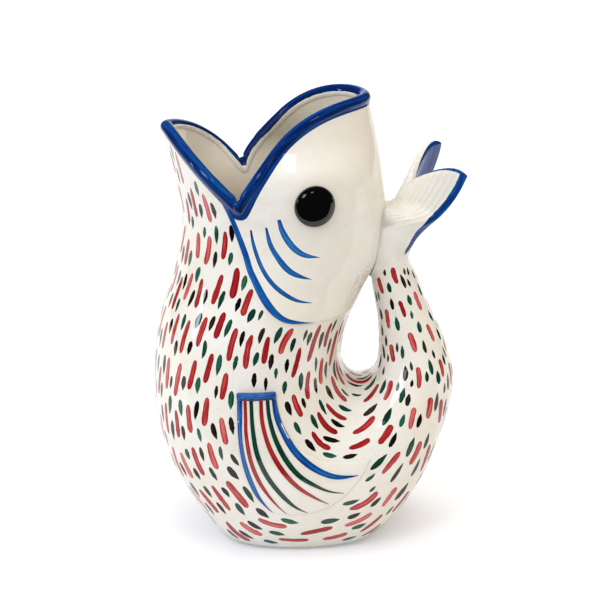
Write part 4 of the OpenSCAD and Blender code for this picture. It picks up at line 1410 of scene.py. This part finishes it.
# The pressed rays are painted a little darker, towards #E4DCC8: painted shade in the furrows, beside their
# real bump.
painted_furrow_shade = add_node(tree, "ShaderNodeMapRange", {"Value": ray, "To Max": 0.45})
cream = cream_colour(tree)
fin_cream_with_furrow_shade = add_node(tree, "ShaderNodeMix", {0: painted_furrow_shade, 6: cream, 7: "#E4DCC8"}, data_type="RGBA")
blue = paint_colour(tree, "#041F58", "#0C4794", "#2C7DC6", 1.4)
edged = add_node(tree, "ShaderNodeMix", {0: mask, 6: fin_cream_with_furrow_shade, 7: blue}, data_type="RGBA")
glaze_over(tree, edged, relief=ray)

# %% [markdown]
# The eyes are a lead-free black glaze, thick enough to look like glass. The foot is wiped clean of
# glaze, or the jug would stick to the kiln shelf, so it shows the bare clay with its fine grog.

# %% Black glaze of the eyes, bare clay of the foot
eye_material, tree = new_material("black_glaze")
depths = add_node(tree, "ShaderNodeTexNoise", {"Vector": place_mm(tree), "Scale": 1 / 5, "Detail": 2.0})
black = add_node(tree, "ShaderNodeMix", {0: depths, 6: "#020202", 7: "#060607"}, data_type="RGBA")
glaze_over(tree, black, 0.5)
clay_material, tree = new_material("bare_fired_earthenware")
grog = add_node(tree, "ShaderNodeTexNoise", {"Vector": place_mm(tree), "Scale": 1 / 0.6, "Detail": 4.0})
clay = add_node(tree, "ShaderNodeMix", {0: grog, 6: "#D9C6A5", 7: "#E8DCC4"}, data_type="RGBA")
rough = add_node(tree, "ShaderNodeBump", {"Height": grog, "Strength": 0.4, "Distance": 0.0002})
matt = add_node(tree, "ShaderNodeBsdfPrincipled", {
    "Base Color": clay, "Roughness": 0.85, "IOR": 1.5, "Normal": rough})
add_node(tree, "ShaderNodeOutputMaterial", {"Surface": matt})


# %% Giving out the materials
def wear(obj, material):
    obj.data.materials.clear()
    obj.data.materials.append(material)


def set_attribute(obj, key, values):
    layer = obj.data.attributes.get(key) or obj.data.attributes.new(key, "FLOAT", "POINT")
    layer.data.foreach_set("value", np.asarray(values, np.float32).ravel())
    print(obj.name, "carries", key, "up to", round(float(np.max(values)), 2))


for obj in (belly, head, tail):
    wear(obj, cream_material)
for obj in side_fins + [tail_fin, lip]:
    wear(obj, fin_material)
for obj in eyes:
    wear(obj, eye_material)
wear(nodes["foot"], clay_material)
for name, obj in painted.items():
    colours = [colour for colour in paints if colour in name] + ["blue"]
    wear(obj, paint_materials[colours[0]])
for material in (cream_material, fin_material, eye_material, clay_material, *paint_materials.values()):
    print(material.name, "has", len(material.node_tree.nodes), "nodes")

# %% [markdown]
# The blue of the fins and the bead belongs to their own material, which reads from each point how
# many millimetres inside the painted area it lies. The bead is blue all round but for its inner
# side, with brush marks that run along the rim. Its blue is painted lighter along the roll's top and
# darker down its sides, as painted light and shade of the round roll.

# %% Brush marks of the lip bead, and its painted light along the top and shade down the sides
rim_run = lengths_along(bead_mid)
bead_shape = bead_points.shape[:2]
blue_reach = mix(5.4, 4.6, ease((from_front(rim_turns) - corner_turn + 12) / 24))
roll_mm = np.radians(around) * bead_d / 2
# The blue is painted lightest along the roll's top and darker down both sides: painted light and shade of
# the round roll.
bead_side_shade = np.broadcast_to(0.9 - 0.9 * np.exp(-((roll_mm - 0.8) / 1.5) ** 2)[None, :], bead_shape)
for key, values in (
        ("blue_mm", roll_mm[None, :] + blue_reach[:, None]), ("along_mm", rim_run[:, None] * 0.5),
        ("across_mm", roll_mm[None, :]), ("tone", 0.3), ("rim", bead_side_shade)):
    set_attribute(lip, key, np.broadcast_to(values, bead_shape))

# %% Blue of the side fins: the rolled top edge
fin_w_loop = np.concatenate([np.tile(fin_ws, (len(fin_us), 1)), np.tile(fin_ws[::-1], (len(fin_us), 1))], 1)
fin_u_loop = np.repeat(fin_us[:, None], fin_w_loop.shape[1], 1)
beside_mm = np.maximum(0, np.abs(fin_u_loop - 0.5) * fin_width - fin_width / 2 + 1.6)
roll_blue = fin_roll / 2 + 0.45 - np.hypot(beside_mm, fin_w_loop * fin_length - fin_roll / 2)
for fin in side_fins:
    set_attribute(fin, "blue_mm", roll_blue)
    set_attribute(fin, "across_mm", fin_w_loop * fin_length)
    set_attribute(fin, "along_mm", fin_u_loop * fin_width)
    set_attribute(fin, "tone", np.full(fin_w_loop.shape, 0.35))

# %% [markdown]
# The tail fin's blue is a band on the front of each lobe's outer edge, a line along the trailing
# edge, and a wedge on the back of the near lobe. The whole back of the far lobe's end is blue. Its
# points also carry the fine rays that are pressed into the front: they are bumped, and painted a
# little darker as painted shade in the furrows.

# %% Blue of the tail fin
loop_w = np.concatenate([[0], fin_rows])
w_here, t_here = np.meshgrid(loop_w, fin_turns, indexing="ij")
side_here = sind(t_here)
grid = fin_middle(side_here, w_here)
to_trailing = np.linalg.norm(grid - fin_middle(side_here, np.ones_like(w_here)), axis=-1)
steps = np.linalg.norm(np.diff(fin_loops, axis=1, append=fin_loops[:, :1]), axis=-1)
around_mm = np.cumsum(steps, 1) - steps
lobe_t = np.where(t_here > 180, 360 - t_here, t_here)
edge_t = mix(46, 90, ease(w_here / 0.45))
lobe_mm = np.where(t_here > 180, around_mm[:, -1:] + steps[:, -1:] - around_mm, around_mm)
half_turns = fin_turns[:fin_columns // 2 + 1]
edge_mm = np.stack([np.interp(t, half_turns, row[:len(half_turns)]) for t, row in zip(edge_t, around_mm)])
from_edge = lobe_mm - edge_mm
front_reach = 4.6 * mix(0.5, 1, ease(w_here / 0.25)) * ease(w_here / 0.04)
back_reach = mix(15, 5.5, w_here) * ease((w_here - 0.3) / 0.3)
behind_reach = np.maximum(back_reach, 0.3 * front_reach)
edge_band = np.where(from_edge > 0, front_reach, behind_reach) - np.abs(from_edge)
blue_here = np.maximum(edge_band, 1.2 * ease(w_here / 0.5) - to_trailing)
far_back = np.minimum(0.9 + to_trailing, 20 * (w_here - 0.5))
blue_here = np.where(t_here > 180, np.where(lobe_t < 90, far_back, edge_band), blue_here)
rays = (0.5 + 0.5 * sind(3600 * side_here)) * ease(w_here / 0.3) * (lobe_t > 90)
for key, values in (
        ("blue_mm", blue_here), ("across_mm", from_edge), ("along_mm", w_here * 45),
        ("tone", np.where(lobe_t < 90, 0.05, 0.35)), ("ray", rays)):
    set_attribute(tail_fin, key, np.append(values.ravel(), values.ravel()[0]))


# %% Painted shade and thick glaze inside the jug, and crazing behind the gill covers
def inside_of(loops, inner):
    return np.broadcast_to(np.arange(loops.shape[1]) < inner, loops.shape[:2]).ravel()


# Inside the jug the cream is painted warmer and darker: painted shade of the hollow, with the glaze lying
# thick there.
belly_inside = inside_of(belly_points, rows_down(turns, 16, 3).shape[1])
set_attribute(belly, "inside_shade_and_glaze", np.where(belly_inside, 0.3, 0.0))
head_inside = np.append(inside_of(head_points, rows_in), [True, False, True, False])
set_attribute(head, "inside_shade_and_glaze", np.where(head_inside, 0.25, 0.0))
craze_x, craze_z, craze_long, craze_high = 38, 140, 8, 12
crazed = ((head_all[:, 0] - craze_x) / craze_long) ** 2 + ((head_all[:, 2] - craze_z) / craze_high) ** 2
set_attribute(head, "craze", np.where(head_inside, 0.0, 0.8 * np.exp(-crazed)))

# %% [markdown]
# ## Camera
# The photograph looks down on the jug by about 18 degrees from well back with a long lens. The lens
# follows from the size of one picture element at the jug, so the render has the photograph's scale.

# %% Camera
camera_drop, camera_far, picture_mm, frame_px = 18, 1500, 0.543, 600
camera_target = np.array([2.7, 0, 127.8])
camera_place = camera_target + camera_far * np.array([0, -cosd(camera_drop), sind(camera_drop)])
camera_data = bpy.data.cameras.new("camera")
camera_data.sensor_width = 36
camera_data.lens = 36 * camera_far / picture_mm / frame_px
camera = bpy.data.objects.new("camera", camera_data)
camera.location = (camera_place * MM).tolist()
camera.rotation_euler = (np.radians(90 - camera_drop), 0, 0)
bpy.context.scene.collection.objects.link(camera)
bpy.context.scene.camera = camera
print("the lens is", round(camera_data.lens, 1), "mm")

# %% [markdown]
# ## Studio
# The jug stands on a white sweep in soft light from all round, a little stronger from above and
# warmer from the right. A window of two panes on the upper left, a small softbox above the camera
# and a strip on the left make the sharp highlights. The room behind the camera is dim in the
# glaze's reflections, so the dark colours stay dark where they face it.


# %% Floor that is white to the camera and keeps the shadow
bpy.ops.mesh.primitive_plane_add(size=4, location=(0, 1.83, 0))
floor = bpy.context.object
floor.name = "floor"
floor_material, tree = new_material("white_sweep")
paper = add_node(tree, "ShaderNodeBsdfDiffuse", {"Color": "#E4E4E6"})
here = add_node(tree, "ShaderNodeNewGeometry").outputs["Position"]
floor_far = add_node(tree, "ShaderNodeVectorMath", {0: here}, operation="LENGTH").outputs["Value"]
strength = add_node(tree, "ShaderNodeMapRange", {
    "Value": floor_far, "From Min": 0.15, "From Max": 0.45, "To Min": 0.25, "To Max": 0.29})
seen = add_node(tree, "ShaderNodeLightPath").outputs
white = add_node(tree, "ShaderNodeMath", {
    0: seen["Is Camera Ray"], 1: seen["Is Glossy Ray"]}, operation="MAXIMUM")
white = add_node(tree, "ShaderNodeMath", {0: white, 1: seen["Is Transmission Ray"]}, operation="MAXIMUM")
strength = add_node(tree, "ShaderNodeMath", {0: white, 1: strength}, operation="MULTIPLY")
glow = add_node(tree, "ShaderNodeEmission", {"Color": [0.9, 0.95, 1, 1], "Strength": strength})
both = add_node(tree, "ShaderNodeAddShader", {0: paper, 1: glow})
add_node(tree, "ShaderNodeOutputMaterial", {"Surface": both})
wear(floor, floor_material)
print("the floor's material has", len(tree.nodes), "nodes")

# %% World
world = bpy.data.worlds.new("studio")
bpy.context.scene.world = world
world.use_nodes = True
tree = world.node_tree
tree.nodes.clear()
way = add_node(tree, "ShaderNodeTexCoord").outputs["Generated"]
seen = add_node(tree, "ShaderNodeLightPath").outputs
x, y, z = add_node(tree, "ShaderNodeSeparateXYZ", {0: way}).outputs
behind = add_node(tree, "ShaderNodeMapRange", {
    "Value": y, "From Min": 0.88, "From Max": 0.99, "To Min": 0.04, "To Max": 1.0})
dome = add_node(tree, "ShaderNodeMapRange", {
    "Value": z, "From Min": -0.2, "From Max": 1.0, "To Min": 0.71, "To Max": 0.97})
zenith = add_node(tree, "ShaderNodeMapRange", {"Value": z, "From Min": 0.78, "From Max": 1.0, "To Max": 1.6})
dome = add_node(tree, "ShaderNodeMath", {0: dome, 1: zenith}, operation="ADD")
level = add_node(tree, "ShaderNodeMix", {0: seen["Is Glossy Ray"], 2: dome, 3: behind}, data_type="FLOAT")
clear = add_node(tree, "ShaderNodeMath", {
    0: seen["Is Camera Ray"], 1: seen["Is Transmission Ray"]}, operation="MAXIMUM")
level = add_node(tree, "ShaderNodeMix", {0: clear, 2: level, 3: 1.0}, data_type="FLOAT")
to_right = add_node(tree, "ShaderNodeMapRange", {"Value": x, "From Min": -0.1, "From Max": 0.9})
warm = add_node(tree, "ShaderNodeMath", {0: to_right, 1: seen["Is Diffuse Ray"]}, operation="MULTIPLY")
air = add_node(tree, "ShaderNodeMix", {0: warm, 6: "#FFFFFF", 7: "#F0DFC6"}, data_type="RGBA")
sky = add_node(tree, "ShaderNodeBackground", {"Color": air, "Strength": level})
add_node(tree, "ShaderNodeOutputWorld", {"Surface": sky})
print("the world has", len(tree.nodes), "nodes")


# %% Lamps
def softbox(name, direction, distance, width, height, power, colour):
    """An area lamp that looks at the middle of the jug from a direction."""
    lamp = bpy.data.lights.new(name, "AREA")
    lamp.shape = "RECTANGLE"
    lamp.size = width
    lamp.size_y = height
    lamp.energy = power
    lamp.color = linear(colour)[:3]
    obj = bpy.data.objects.new(name, lamp)
    way = np.array(direction) / np.linalg.norm(direction)
    obj.location = ([0, 0, 0.125] + way * distance).tolist()
    obj.rotation_euler = (np.arccos(way[2]), 0, np.arctan2(way[1], way[0]) + np.pi / 2)
    bpy.context.scene.collection.objects.link(obj)
    print(name, "gives", power, "W")


softbox("window_left_pane", (-0.49, -0.62, 0.629), 1.5, 0.27, 0.5, 2.1, "#E9EFFF")
softbox("window_right_pane", (-0.35, -0.69, 0.629), 1.5, 0.27, 0.5, 2.1, "#E9EFFF")
softbox("box_by_camera", (0.18, -0.60, 0.78), 1.5, 0.24, 0.22, 0.6, "#FFFFFF")
softbox("strip_left", (-0.955, -0.19, 0.225), 1.4, 0.1, 0.3, 1.0, "#F4F6FF")
bpy.context.scene.view_settings.view_transform = "Standard"
